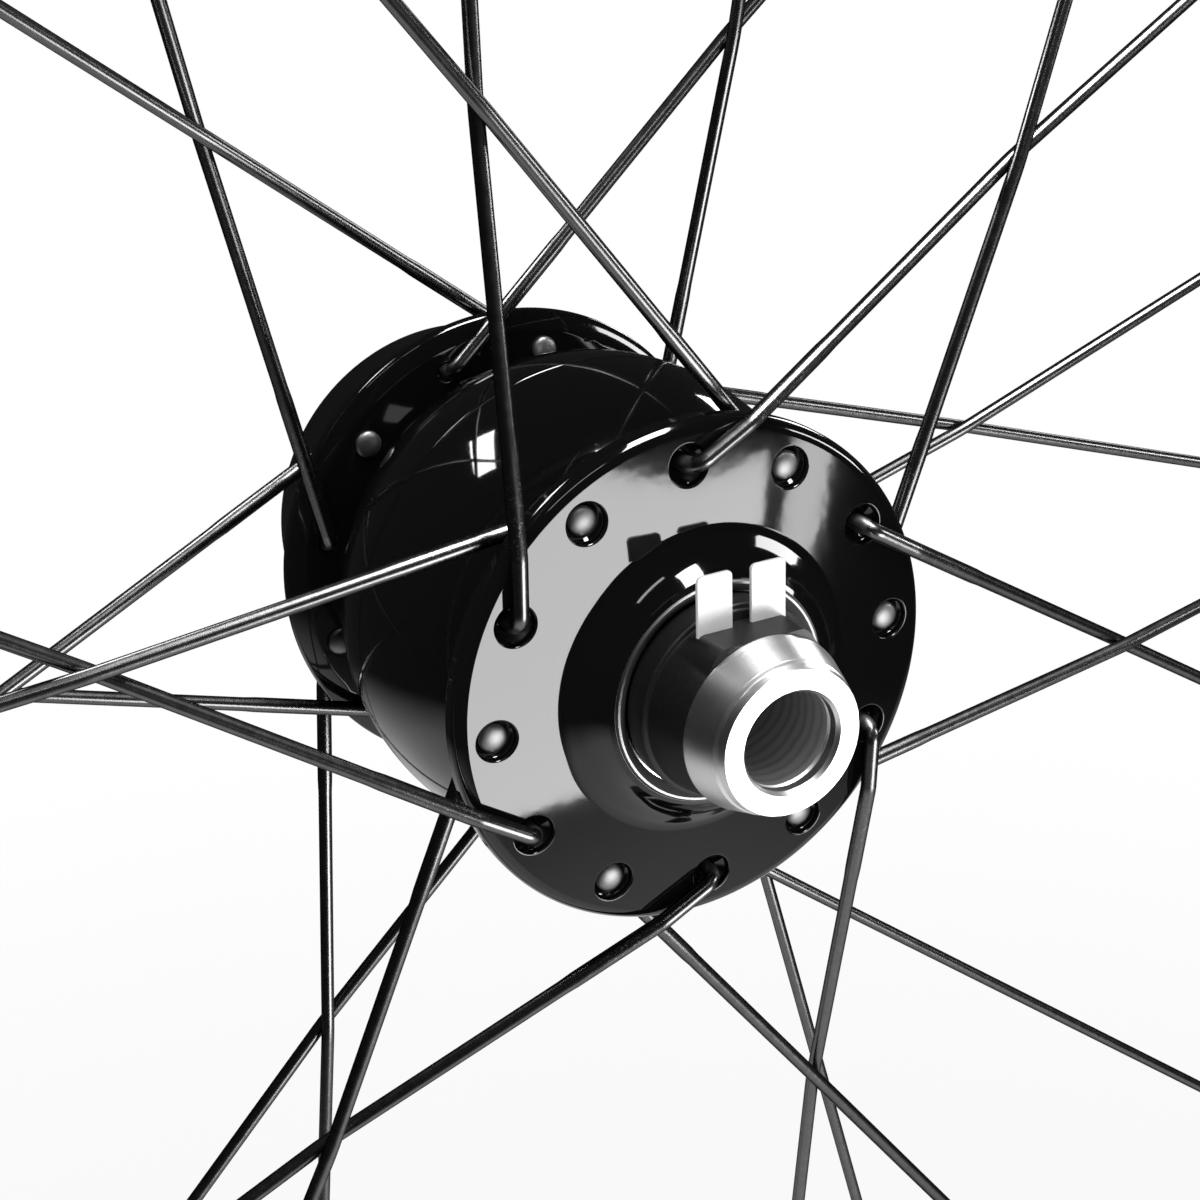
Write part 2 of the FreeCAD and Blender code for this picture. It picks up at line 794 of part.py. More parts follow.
def swept(points, radius):
    """Round wire along straight runs, mitred where they meet, from its first point to its last."""
    path = Part.makePolygon(points)
    circle = Part.makeCircle(radius, points[0], points[1] - points[0])
    return Part.Wire(path).makePipeShell([Part.Wire(circle)], True, False, 1)


def sheet_value(alias):
    return float(sheet.get(alias))


def coil_leads():
    """Two wires from the plug along the axle's groove, up beside the claw pole and in to the winding."""
    level = lead_level.value
    top = lead_height.value
    rise = claw_right.value - sheet_value("lead_rise_gap")
    points = [
        Vector(0, right_shoulder.value + sheet_value("lead_start"), level),
        Vector(0, rise, level),
        Vector(0, rise, top),
        Vector(0, winding_right.value, top),
    ]
    wires = []
    for side in (-1, 1):
        wire = swept(points, sheet_value("lead_radius"))
        wire.translate(Vector(side * sheet_value("lead_spacing") / 2, 0, 0))
        wires.append(wire)
    feature("coil_leads", Part.makeCompound(wires))


# Rim


def rim():
    """Hollow hookless rim: side walls over the bead seats, sloping bed, flanks down to the spoke bed."""
    half = S["rim_half_width"]
    wall = S["rim_wall"]
    inside = half - S["rim_side_wall"]
    bed_bottom = S["bead_seat_radius"] - S["rim_bed_drop"]
    flank = rim_top - S["rim_flank_depth"]
    bed_half = S["rim_spoke_bed"]
    chamber_half = half - wall
    chamber_top = S["bead_seat_radius"] - wall - S["rim_chamber_drop"]
    chamber_floor = spoke_bed + wall
    chamber_bed = bed_half - wall / 2
    body = turned("rim", [
        (rim_top, half),
        (flank, half),
        (spoke_bed, bed_half),
        (spoke_bed, -bed_half),
        (flank, -half),
        (rim_top, -half),
        (rim_top, -inside),
        (S["bead_seat_radius"], -inside),
        (bed_bottom, 0),
        (S["bead_seat_radius"], inside),
        (rim_top, inside),
    ], [
        (chamber_top, chamber_half),
        (bed_bottom - wall, 0),
        (chamber_top, -chamber_half),
        (flank, -chamber_half),
        (chamber_floor, -chamber_bed),
        (chamber_floor, chamber_bed),
        (flank, chamber_half),
    ])
    sketch = new_sketch(body, "valve_hole_outline", "YZ_Plane", spoke_bed - S["cut_overrun"] * 2)
    hole = sketch.addGeometry(Part.Circle(Vector(), Vector(0, 0, 1), S["valve_hole_radius"].value), False)
    sketch.addConstraint(Sketcher.Constraint("Coincident", hole, 3, -1, 1))
    index = sketch.addConstraint(Sketcher.Constraint("Radius", hole, S["valve_hole_radius"].value))
    sketch.setExpression(f"Constraints[{index}]", S["valve_hole_radius"].formula)
    cut(body, sketch, "valve_hole", S["rim_depth"], True)
    turn_about_axle(body, S["valve_angle"])


# Spokes

# The laced spokes are the feature that takes the most skill. A spoke leaves its hole square to the
# flange, bends into the direction of its rim hole, a fixed angle round from it, and at the outermost
# crossing passes under the spoke that it has run over until then.

hole_angle = 2 * math.pi / sheet_value("flange_holes")
lead_angle = math.radians(sheet_value("spoke_lead_angle"))
hub_radius = sheet_value("spoke_circle_radius")
rim_radius = spoke_bed.value + sheet_value("nipple_seat")
spoke_radius = sheet_value("spoke_radius")
butt_radius = sheet_value("butt_radius")
nipple_reach = sheet_value("nipple_length") + sheet_value("nipple_seat")


def along(turn, distance, station):
    """The point at a distance along a spoke's way from its hole to its rim hole, at a station."""
    aim = Vector(rim_radius * math.cos(lead_angle) - hub_radius, 0, rim_radius * math.sin(lead_angle))
    aim.normalize()
    return Vector(hub_radius + aim.x * distance, station, turn * aim.z * distance)


def spoke_reach():
    """Distance from a spoke's hole to its rim hole, seen along the axle."""
    rim_hole = Vector(rim_radius * math.cos(lead_angle), 0, rim_radius * math.sin(lead_angle))
    return (rim_hole - Vector(hub_radius, 0, 0)).Length


def distance_at(angle):
    """Distance along a spoke's way to where it has gone a given angle round the axle."""
    reach = spoke_reach()
    slope = math.acos((rim_radius * math.cos(lead_angle) - hub_radius) / reach)
    return hub_radius * math.sin(angle) / math.sin(slope - angle)


def distance_to_radius(radius):
    """Distance along a spoke's way to where it passes a radius outside its hole."""
    reach = spoke_reach()
    inward = (rim_radius * math.cos(lead_angle) - hub_radius) / reach * hub_radius
    return -inward + math.sqrt(inward ** 2 + radius ** 2 - hub_radius ** 2)


def straight_station(face_offset, distance):
    """Station of a straight line from the hub to the rim's middle plane."""
    return face_offset * (1 - distance / spoke_reach())


def spoke_route(face, outward, far_side, turn):
    """Corners of a spoke's centre line from its bend to the rim.

    face is the flange face that the spoke lies on, outward that face's direction along Y,
    far_side the centre line of the spokes on the flange's other face.
    """
    lie = face + outward * (butt_radius + sheet_value("elbow_seat"))
    bend = sheet_value("elbow_cut")
    crossing = distance_at(1.5 * hole_angle)
    side = 1 if lie > 0 else -1
    mean = (straight_station(lie, crossing) + straight_station(far_side, crossing)) / 2
    under = spoke_radius + sheet_value("crossing_clearance")
    outer = outward == side
    crossing_station = mean - side * under if outer else mean + side * under
    points = [
        Vector(hub_radius, lie - outward * bend, 0),
        along(turn, bend, lie),
    ]
    if outer:
        edge = distance_to_radius(flange_radius.value - sheet_value("flange_edge") / 2)
        over = butt_radius + sheet_value("crossing_clearance")
        points.append(along(turn, edge, face + outward * over))
    points.append(along(turn, crossing, crossing_station))
    points.append(along(turn, spoke_reach(), 0))
    return points


def nipple_start(route):
    """Where the nipple begins on the last run of a route, which ends inside the rim."""
    inward = (route[-2] - route[-1]).normalize()
    return route[-1] + inward * nipple_reach


def spoke_head(seat, outward):
    """Domed head of a spoke on its flat seat: a disc under a cap cut from a sphere."""
    radius = sheet_value("head_radius")
    depth = sheet_value("head_depth")
    crown = sheet_value("head_crown")
    axis = Vector(0, outward, 0)
    rest = Vector(hub_radius, seat, 0)
    disc = Part.makeCylinder(radius, depth, rest, axis)
    ball = (radius ** 2 + crown ** 2) / (2 * crown)
    centre = rest + axis * (depth + crown - ball)
    latitude = math.degrees(math.asin((ball - crown) / ball))
    dome = Part.makeSphere(ball, centre, axis, latitude, 90, 360)
    return [disc, dome]


def spoke_shape(face, outward, other_face, far_side, turn):
    """One spoke: head, shank through the flange, bend, thick end, taper, thin run to the nipple.

    The thick end stops on the run before the crossing.
    """
    route = spoke_route(face, outward, far_side, turn)
    route[-1] = nipple_start(route)
    sunk = abs(other_face) > abs(face)
    seat = other_face + outward * sheet_value("head_seat_depth") if sunk else other_face
    direction = (route[-2] - route[-3]).normalize()
    thick_run = sheet_value("butt_length") - (route[-3] - route[0]).Length
    thick_end = route[-3] + direction * thick_run
    taper_length = sheet_value("butt_taper")
    thick = swept([Vector(hub_radius, seat, 0)] + route[:-2] + [thick_end], butt_radius)
    taper = Part.makeCone(butt_radius, spoke_radius, taper_length, thick_end, direction)
    thin = swept([thick_end + direction * taper_length] + route[-2:], spoke_radius)
    return thick.multiFuse([taper, thin] + spoke_head(seat, -outward)).removeSplitter()


def nipple_shape(face, outward, far_side, turn):
    """Square tapered nipple along the end of a spoke, its top cut to the curve of the rim's bed."""
    route = spoke_route(face, outward, far_side, turn)
    start = nipple_start(route)
    frame = Rotation(Vector(0, 0, 1), route[-1] - start)
    signs = ((1, 1), (-1, 1), (-1, -1), (1, -1))
    ends = ((0, sheet_value("nipple_tip")), (nipple_reach, sheet_value("nipple_root")))
    sections = []
    for distance, width in ends:
        corners = [Vector(x * width / 2, y * width / 2, distance) for x, y in signs]
        placed = [start + frame.multVec(corner) for corner in corners]
        sections.append(Part.makePolygon(placed + placed[:1]))
    blank = Part.makeLoft(sections, True, True)
    half = sheet_value("rim_half_width")
    bed = Part.makeCylinder(spoke_bed.value, half * 2, Vector(0, -half, 0), Vector(0, 1, 0))
    return blank.common(bed)


def lacing():
    """The four kinds of spoke: flange face, its direction, other face, other centre line, turn, angle."""
    pitch = math.degrees(hole_angle)
    stand = butt_radius + sheet_value("elbow_seat")
    right = (right_face.value, right_inner.value, sheet_value("right_hole_angle"), "right")
    left = (left_face.value, left_inner.value, sheet_value("left_hole_angle"), "left")
    kinds = []
    for (outer, inner, angle, name), away, outer_turn in ((right, -1, -1), (left, 1, 1)):
        over = (outer, away, inner, inner - away * stand, outer_turn)
        under = (inner, -away, outer, outer + away * stand, -outer_turn)
        shift = pitch if name == "right" else 0
        kinds.append((name, over, angle + shift, 1))
        kinds.append((name, under, angle + pitch - shift, 2))
    return kinds


def spokes():
    """Every second hole of a flange holds a spoke of one kind, the holes between them the other."""
    nipples = []
    pairs = int(sheet_value("flange_holes")) // 2
    for name, (face, outward, other_face, far_side, turn), angle, first in lacing():
        shape = spoke_shape(face, outward, other_face, far_side, turn)
        nipple = nipple_shape(face, outward, far_side, turn)
        for pair in range(pairs):
            turned_by = angle + pair * 360 / pairs
            feature(f"{name}_spoke_{first + 2 * pair:02d}", shape, turned_by)
            copy = nipple.copy()
            copy.Placement = Placement(Vector(), Rotation(Vector(0, -1, 0), turned_by))
            nipples.append(copy)
    feature("spoke_nipples", Part.makeCompound(nipples))


# Building and writing


def build():
    hub_shell_right()
    hub_shell_left()
    axle()
    end_caps()
    connector_body()
    terminal("front_terminal", 1)
    terminal("rear_terminal", -1)
    bearing("right", right_bearing, 1)
    bearing("left", left_bearing, -1)
    retaining_rings()
    stator()
    rotor()
    rim()
    coil_leads()
    spokes()
    doc.recompute()


def check():
    """Stops when any object failed or any piece has no sound solid."""
    for item in doc.Objects:
        if "Invalid" in item.State or "Error" in item.State:
            raise RuntimeError(f"{item.Label} failed: {item.State}")
    for piece in parts:
        if piece.Shape.isNull() or not piece.Shape.isValid() or not piece.Shape.Solids:
            raise RuntimeError(f"{piece.Label} has no valid solid")


def write():
    os.makedirs("parts", exist_ok=True)
    for piece in parts:
        piece.Shape.exportStep(f"parts/{piece.Label}.step")


build()
check()
write()
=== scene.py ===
"""Front bicycle wheel with a generator hub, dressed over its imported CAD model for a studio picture.

Outlines and routes are written in millimetres and put into the meshes in metres. The axle lies along Y:
-Y is the right side with the plug, +Y the brake side, +Z is up. Angles start at +X and rise towards +Z.
A station is a place along Y. A corner of an outline is (radius, station, rounding).
"""
import math
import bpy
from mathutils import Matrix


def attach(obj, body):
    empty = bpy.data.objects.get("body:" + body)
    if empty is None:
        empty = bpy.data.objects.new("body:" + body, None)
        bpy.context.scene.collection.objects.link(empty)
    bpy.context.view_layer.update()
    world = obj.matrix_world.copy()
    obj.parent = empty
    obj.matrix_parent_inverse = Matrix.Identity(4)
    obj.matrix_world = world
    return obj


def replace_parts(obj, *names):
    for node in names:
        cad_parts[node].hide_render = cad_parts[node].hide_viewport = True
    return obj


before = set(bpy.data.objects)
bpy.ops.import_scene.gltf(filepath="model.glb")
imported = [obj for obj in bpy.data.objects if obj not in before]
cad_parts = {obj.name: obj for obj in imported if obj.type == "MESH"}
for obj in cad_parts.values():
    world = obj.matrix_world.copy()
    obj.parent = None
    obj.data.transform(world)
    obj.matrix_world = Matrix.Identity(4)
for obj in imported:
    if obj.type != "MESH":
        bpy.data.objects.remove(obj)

from types import SimpleNamespace

import bmesh
import bpy
import numpy as np
from bpy.props import FloatProperty, FloatVectorProperty, IntProperty, PointerProperty
from mathutils import Matrix, Vector

bl_info = {
    "name": "Generator Wheel",
    "version": (1, 0, 0),
    "blender": (4, 5, 0),
    "location": "3D View > Sidebar > Wheel",
    "description": "Builds the visible skin of a laced front wheel with a generator hub",
    "category": "Add Mesh",
}

MM = 0.001
FULL_TURN = 2 * math.pi
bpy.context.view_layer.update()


# Sizes and colours


def length(name, description, millimetres):
    """A length property, given in millimetres."""
    return FloatProperty(
        name=name, description=description, default=millimetres * MM, unit="LENGTH", precision=5,
    )


def angle(name, description, degrees):
    """An angle property, given in degrees."""
    return FloatProperty(name=name, description=description, default=math.radians(degrees), subtype="ANGLE")


def count(name, description, number, least):
    """A whole number property."""
    return IntProperty(name=name, description=description, default=number, min=least)


def colour(name, description, grey):
    """A colour property that starts as a grey."""
    return FloatVectorProperty(
        name=name, description=description, default=(grey, grey, grey), subtype="COLOR", min=0, max=1,
    )


class HubSizes(bpy.types.PropertyGroup):
    """Sizes of the two hub shells."""

    segments: count("Segments", "Steps round the axle", 288, 72)
    holes: count("Holes", "Spoke holes in each flange", 12, 6)
    hole_circle: length("Hole circle", "Radius of the circle the spoke holes lie on", 27.0)
    hole_radius: length("Spoke hole", "Radius of a spoke hole", 1.3)
    seat_radius: length("Head seat", "Radius of the seat sunk round a spoke hole", 2.5)
    seat_wall: length("Seat wall", "Depth of the seat's straight wall", 0.9)
    seat_depth: length("Seat depth", "Depth where the seat's funnel ends in the hole", 2.0)
    face_slope: angle("Face slope", "Lean of a flange's outer face", 4.4)
    flange_radius: length("Flange", "Outer radius of both flanges", 32.0)
    flange_edge: length("Outer edge", "Rounding of a flange's outer edge", 1.5)
    inner_edge: length("Inner edge", "Rounding of a flange's inner edge", 0.7)
    left_bevel: length("Left bevel", "Bevel on the left flange's outer edge", 1.0)
    left_taper: length("Left taper", "How far the left flange's inner face turns away at its edge", 1.3)
    right_face: length("Right face", "Station of the right flange's outer face", -30.0)
    right_inner: length("Right inner face", "Station of the right flange's inner face", -26.6)
    left_face: length("Left face", "Station of the left flange's outer face", 23.0)
    left_inner: length("Left inner face", "Station of the left flange's inner face", 19.6)
    right_angle: angle("Right hole angle", "Angle of the first right hole", 2.5)
    left_angle: angle("Left hole angle", "Angle of the first left hole", 17.5)
    parting: length("Parting", "Station where the two shells meet", -2.0)
    crown_radius: length("Crown", "Radius of the barrel at the parting", 31.7)
    barrel_arc: length("Barrel arc", "Radius of the barrel's outline", 32.0)
    barrel_middle: length("Barrel middle", "Station of the barrel arc's centre", -2.5)
    barrel_centre: length("Barrel centre", "Radius of the barrel arc's centre", -0.3)
    boss_radius: length("Boss", "Radius of the boss at its mouth", 14.6)
    boss_height: length("Boss height", "How far the boss stands out of the right flange", 4.4)
    boss_fillet: length("Boss fillet", "Radius of the hollow between flange and boss", 3.0)
    mouth_radius: length("Mouth", "Radius of the recess in the boss for its ring", 13.9)
    ring_seat: length("Ring seat", "Station of the recess's floor, where ring and plug start", -33.5)
    bearing_radius: length("Bearing seat", "Radius of the bearings' seats", 13.0)
    passage_radius: length("Passage", "Radius of the passages behind the bearings", 12.0)
    bay_radius: length("Stator bay", "Radius of the room for the stator's ends", 24.5)
    yoke_radius: length("Yoke seat", "Radius of the magnet yoke's seat", 28.2)
    joint_radius: length("Joint", "Radius of the joint between the shells", 29.9)
    spigot_radius: length("Rotor spigot", "Radius of the spigot that centres the brake rotor", 17.5)
    rotor_face: length("Rotor face", "Station of the face the brake rotor lies on", 39.5)
    bolt_circle: length("Bolt circle", "Radius of the circle of the rotor's six bolts", 22.0)
    bolt_radius: length("Bolt hole", "Radius of a rotor bolt's hole", 2.1)


class AxleSizes(bpy.types.PropertyGroup):
    """Sizes of the axle, its end caps and the plug with its terminals."""

    end: length("End", "Station of the left end face; the right one lies opposite", 50.0)
    bore: length("Bore", "Radius of the through bore", 6.05)
    radius: length("Axle", "Radius of the axle between the caps", 8.5)
    tip_radius: length("Tip", "Radius of the axle's tips inside the caps", 8.0)
    tip: length("Tip end", "Station of the axle's left tip", 48.4)
    shoulder: length("Shoulder", "Station of the axle's left shoulder", 44.0)
    cap_radius: length("Cap foot", "Radius of a cap's cone at the shoulder", 10.9)
    plug_flat: length("Plug flat", "Height of the flat on the plug that the terminals stand on", 10.45)
    plug_half_width: length("Plug flat's half width", "Half the width of the flat on the plug", 5.0)
    blade_offset: length("Terminal offset", "From the middle of the plug to the middle of a terminal", 3.55)
    blade_level: length("Terminal level", "Height of a terminal's middle above the axle line", 13.1)
    blade_half_width: length("Terminal half width", "Half a terminal's width", 2.3)
    blade_half_length: length("Terminal half length", "Half a terminal's length", 4.4)
    blade_near: length("Terminal face", "Station of the terminals' outer faces", -39.4)
    blade_far: length("Terminal back", "Station of the terminals' inner faces", -38.9)


class SpokeSizes(bpy.types.PropertyGroup):
    """Sizes of the spokes and nipples."""

    thick_radius: length("Thick end", "Radius of the spoke next to the hub", 1.0)
    thin_radius: length("Middle", "Radius of the drawn middle of the spoke", 0.9)
    thick_length: length("Thick length", "Length of the thick end from the elbow", 19.0)
    taper_length: length("Taper", "Length over which the spoke narrows", 3.0)
    elbow_radius: length("Elbow", "Radius of the elbow's centre line", 1.9)
    standoff: length("Stand-off", "Centre line's distance from the flange face", 1.3)
    gap: length("Gap", "Gap between spokes that cross and over the flange's edge", 0.05)
    head_radius: length("Head", "Radius of the domed head", 1.78)
    dome_height: length("Dome", "Height of the head's dome", 0.6)
    head_sink: length("Head sink", "Depth of the head's widest ring in its seat", 1.1)
    head_seat: length("Head foot", "Depth of the head's underside in its seat", 1.5)
    head_rise: length("Head rise", "Height of the widest ring where a head lies on a flat face", 0.35)
    bed_radius: length("Spoke bed", "Radius of the rim's inner face", 297.0)
    aim_radius: length("Aim", "Radius of the point a spoke aims at in the rim", 299.0)
    nipple_length: length("Nipple", "Length of nipple outside the rim", 8.0)
    lead: angle("Lead", "Angle from a spoke's hole to its rim hole", 60)


class RimSizes(bpy.types.PropertyGroup):
    """Sizes of the rim."""

    segments: count("Segments", "Steps round the rim", 576, 96)
    top_radius: length("Top", "Outer radius of the side walls", 317.0)
    seat_radius: length("Bead seat", "Radius of the bead seats", 311.0)
    bed_radius: length("Tyre bed", "Radius of the bed between the seats", 308.2)
    flank_radius: length("Flank", "Radius where the side walls turn inwards", 307.0)
    half_width: length("Half width", "Half the rim's width", 12.5)
    half_mouth: length("Half mouth", "Half the width between the side walls", 10.9)
    half_bed: length("Half spoke bed", "Half the width of the spoke bed", 4.5)
    valve_radius: length("Valve hole", "Radius of the valve hole", 4.25)
    valve_angle: angle("Valve angle", "Angle of the valve hole", 85)


class Finishes(bpy.types.PropertyGroup):
    """Colours of the finishes."""

    shell: colour("Shell lacquer", "Gloss black of the hub shells", 0.004)
    rim: colour("Rim", "Satin black of the rim", 0.016)
    plug: colour("Plug", "Moulded black of the plug", 0.006)
    spoke: colour("Spoke", "Dark drawn steel of the spokes", 0.13)
    head: colour("Head", "Bare steel of the spoke heads", 0.2)
    silver: colour("Silver", "Turned metal of the end caps", 0.8)
    tin: colour("Tin", "Plating of the terminals", 0.9)
    steel: colour("Steel", "Ground steel of the bearings", 0.6)


class StudioSizes(bpy.types.PropertyGroup):
    """Sizes of the stage."""

    floor_radius: length("Floor", "Radius of the pale floor", 640.0)
    floor_level: length("Floor level", "Height of the floor", -317.0)
    hood_radius: length("Hood", "Radius of the dark hood over the set", 1200.0)
    lens: FloatProperty(name="Lens", description="Focal length on a 36 mm sensor", default=71.56, min=1)


def in_mm(group):
    """The group's values by name, its lengths in millimetres."""
    values = {}
    for item in group.bl_rna.properties:
        if item.identifier in {"rna_type", "name"}:
            continue
        value = getattr(group, item.identifier)
        values[item.identifier] = value / MM if item.unit == "LENGTH" else value
    return SimpleNamespace(**values)


# Surfaces


def outline(corners, steps=6, closed=False):
    """A polyline through (across, station, rounding) corners as an array of points.

    A rounded corner becomes a circle arc that touches both of its sides: the arc's points are the
    centre plus the two touching radii weighted by sines of the angle left and the angle passed.
    One more point lies on each side just off the arc, so that the flats beside it shade flat.
    """
    places = np.array([corner[:2] for corner in corners], float)
    last_corner = len(corners) - 1
    most_spare = 0.04
    points = []
    for i, (_, _, rounding) in enumerate(corners):
        here = places[i]
        if rounding == 0 or (not closed and i in (0, last_corner)):
            points.append(here[None])
            continue
        back = places[i - 1] - here
        on = places[(i + 1) % len(corners)] - here
        reach = min(np.linalg.norm(back), np.linalg.norm(on))
        back /= np.linalg.norm(back)
        on /= np.linalg.norm(on)
        half = math.acos(np.clip(back @ on, -1, 1)) / 2
        touch = rounding / math.tan(half)
        centre = here + (back + on) / np.linalg.norm(back + on) * rounding / math.sin(half)
        sweep = math.pi - 2 * half
        passed = np.linspace(0, 1, steps + 1)[:, None] * sweep
        first = here + back * touch - centre
        last = here + on * touch - centre
        arc = centre + (first * np.sin(sweep - passed) + last * np.sin(passed)) / math.sin(sweep)
        spare = min(most_spare, max(0.0, reach - touch) / 3)
        points += [arc[:1] + back * spare, arc, arc[-1:] + on * spare]
    return np.concatenate(points)


def mirrored(corners):
    """The same corners on the other side of the wheel's middle."""
    return [(radius, -station, rounding) for radius, station, rounding in corners]


def turned(points, segments, start=0.0):
    """Grid of an outline turned about Y: radius r at angle a gives (r cos a, station, r sin a)."""
    around = start + np.arange(segments) * FULL_TURN / segments
    radius = points[:, :1]
    station = np.broadcast_to(points[:, 1:], (len(points), segments))
    return np.stack([radius * np.cos(around), station, radius * np.sin(around)], axis=-1)


def turned_about_axle(points, by):
    """Points turned about the axle by an angle, towards +Z from +X."""
    c, s = math.cos(by), math.sin(by)
    turn = np.array([[c, 0, -s], [0, 1, 0], [s, 0, c]])
    return points @ turn.T


def sector_border(station, inner, outer, half_angle, arc_steps, side_steps):
    """Border of one hole's share of a flat ring face: outer arc, side, inner arc, side, as one loop."""
    out = np.linspace(-half_angle, half_angle, arc_steps, endpoint=False)
    down = np.linspace(outer, inner, side_steps, endpoint=False)
    radius = np.concatenate([
        np.full(arc_steps, outer), down, np.full(arc_steps, inner), (inner + outer) - down,
    ])
    around = np.concatenate([out, np.full(side_steps, half_angle), -out, np.full(side_steps, -half_angle)])
    stations = np.full(len(radius), station)
    return np.stack([radius * np.cos(around), stations, radius * np.sin(around)], axis=-1)


def hole_grid(circle, wall, borders, half_angle, arc_steps, side_steps):
    """One hole with its share of the face at each end.

    Rows run from the first face's border straight to the lip, down the wall, whose outline is
    (radius from the hole's middle, station), and out to the second face's border, or, without a
    second face, to the middle of the floor. Column j meets the circle at the angle 2 pi (j - a/2) / n.
    """
    columns = 2 * (arc_steps + side_steps)
    around = (np.arange(columns) - arc_steps / 2) * FULL_TURN / columns
    radius = wall[:, :1]
    station = np.broadcast_to(wall[:, 1:], (len(wall), columns))
    rings = np.stack([circle + radius * np.cos(around), station, radius * np.sin(around)], axis=-1)
    share = np.array([0, 0.3, 0.6, 0.85, 0.97])[:, None, None]
    first = sector_border(wall[0, 1], *borders[0], half_angle, arc_steps, side_steps)
    rows = [first * (1 - share) + rings[0] * share, rings]
    if len(borders) > 1:
        second = sector_border(wall[-1, 1], *borders[1], half_angle, arc_steps, side_steps)
        rows.append((second * (1 - share) + rings[-1] * share)[::-1])
    return np.concatenate(rows)


def pillow(centre, half_x, half_z, corner, near, far, edge, steps=5):
    """A slab between two stations with a rounded-rectangle outline and rounded edges, centre to centre.

    The outline is a rectangle shrunk by its corner radius plus a circle of that radius. At the edges
    it shrinks by edge (1 - sin t) while the station moves by edge (1 - cos t).
    """
    quarter = math.pi / 2
    t = np.linspace(0, quarter, steps + 1)
    around = np.concatenate([t + k * quarter for k in range(4)])
    diagonal = (np.repeat(np.arange(4), steps + 1) + 0.5) * quarter
    shrink = edge * (1 - np.sin(t))
    shrink = np.concatenate([shrink, shrink[::-1]])[:, None]
    move = math.copysign(edge, far - near) * (1 - np.cos(t))
    station = np.concatenate([[near], near + move, far - move[::-1], [far]])[:, None]
    least_rounding = 0.02
    round_by = np.maximum(corner - shrink, least_rounding)
    x = np.sign(np.cos(diagonal)) * (half_x - shrink - round_by) + round_by * np.cos(around)
    z = np.sign(np.sin(diagonal)) * (half_z - shrink - round_by) + round_by * np.sin(around)
    x = np.pad(x, ((1, 1), (0, 0))) + centre[0]
    z = np.pad(z, ((1, 1), (0, 0))) + centre[1]
    return np.stack([x, np.broadcast_to(station, x.shape), z], axis=-1)


class Skin:
    """Grids of points gathered into one closed mesh."""

    def __init__(self):
        self.points = []
        self.faces = []
        self.along = []
        self.size = 0

    def grid(self, points, closed_rows=False, along=None):
        """Adds rows of points, each closed round, with quads between them; along has a value for each row."""
        rows, columns = points.shape[:2]
        index = np.arange(rows * columns).reshape(rows, columns) + self.size
        index = np.hstack([index, index[:, :1]])
        if closed_rows:
            index = np.vstack([index, index[:1]])
        quads = np.stack([index[:-1, :-1], index[:-1, 1:], index[1:, 1:], index[1:, :-1]], axis=-1)
        self.faces.append(quads.reshape(-1, 4))
        self.points.append(points.reshape(-1, 3))
        values = np.zeros(rows) if along is None else np.asarray(along, float)
        self.along.append(np.repeat(values, columns))
        self.size += rows * columns
        return self

    def make(self, name, body, slot, finish, sharp=35.0):
        """The welded mesh as an object that rides on a body; edges sharper than the angle stay sharp."""
        mesh = bpy.data.meshes.new(name)
        mesh.from_pydata((np.concatenate(self.points) * MM).tolist(), [], np.concatenate(self.faces).tolist())
        along = mesh.attributes.new("along", "FLOAT", "POINT")
        along.data.foreach_set("value", np.concatenate(self.along).astype(np.float32))
        weld(mesh)
        mesh.shade_smooth()
        mesh.set_sharp_from_angle(angle=math.radians(sharp))
        mesh.materials.append(finish)
        piece = bpy.data.objects.new(name, mesh)
        bpy.context.scene.collection.objects.link(piece)
        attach(piece, body)
        return piece


def weld(mesh):
    """Merges the doubles where grids meet and turns all faces outwards."""
    work = bmesh.new()
    work.from_mesh(mesh)
    bmesh.ops.remove_doubles(work, verts=work.verts, dist=1.5e-6)
    bmesh.ops.recalc_face_normals(work, faces=work.faces)
    work.to_mesh(mesh)
    work.free()


# Shader writing


def add_node(tree, kind, settings=None, inputs=None):
    """Adds a node: first its settings, then the values or links of its sockets, by name or number."""
    node = tree.nodes.new(kind)
    for name, setting in (settings or {}).items():
        setattr(node, name, setting)
    for name, item in (inputs or {}).items():
        slot = node.inputs[name]
        if isinstance(item, Value):
            tree.links.new(item.socket, slot)
        elif slot.type == "RGBA" and len(item) == 3:
            slot.default_value = (*item, 1)
        else:
            slot.default_value = item
    return node


class Value:
    """A socket in a node tree; arithmetic on it adds Math nodes."""

    def __init__(self, tree, socket):
        self.tree = tree
        self.socket = socket

    def math(self, operation, *items):
        """One Math node on the items."""
        node = add_node(self.tree, "ShaderNodeMath", {"operation": operation}, dict(enumerate(items)))
        return Value(self.tree, node.outputs[0])

    def __add__(self, other):
        return self.math("ADD", self, other)

    def __radd__(self, other):
        return self.math("ADD", other, self)

    def __rsub__(self, other):
        return self.math("SUBTRACT", other, self)

    def __mul__(self, other):
        return self.math("MULTIPLY", self, other)

    def __rmul__(self, other):
        return self.math("MULTIPLY", other, self)

    def __pow__(self, other):
        return self.math("POWER", self, other)

    def __abs__(self):
        return self.math("ABSOLUTE", self)

    def wave(self, power=1.0):
        """A sine of the value from 0 to 1, sharpened by a power."""
        sine = self.math("SINE", self) * 0.5 + 0.5
        return sine if power == 1.0 else sine ** power

    def between(self, low, high):
        """0 below low, 1 above high and a smooth step in between."""
        inputs = {"Value": self, "From Min": low, "From Max": high}
        node = add_node(self.tree, "ShaderNodeMapRange", {"interpolation_type": "SMOOTHSTEP"}, inputs)
        return Value(self.tree, node.outputs["Result"])


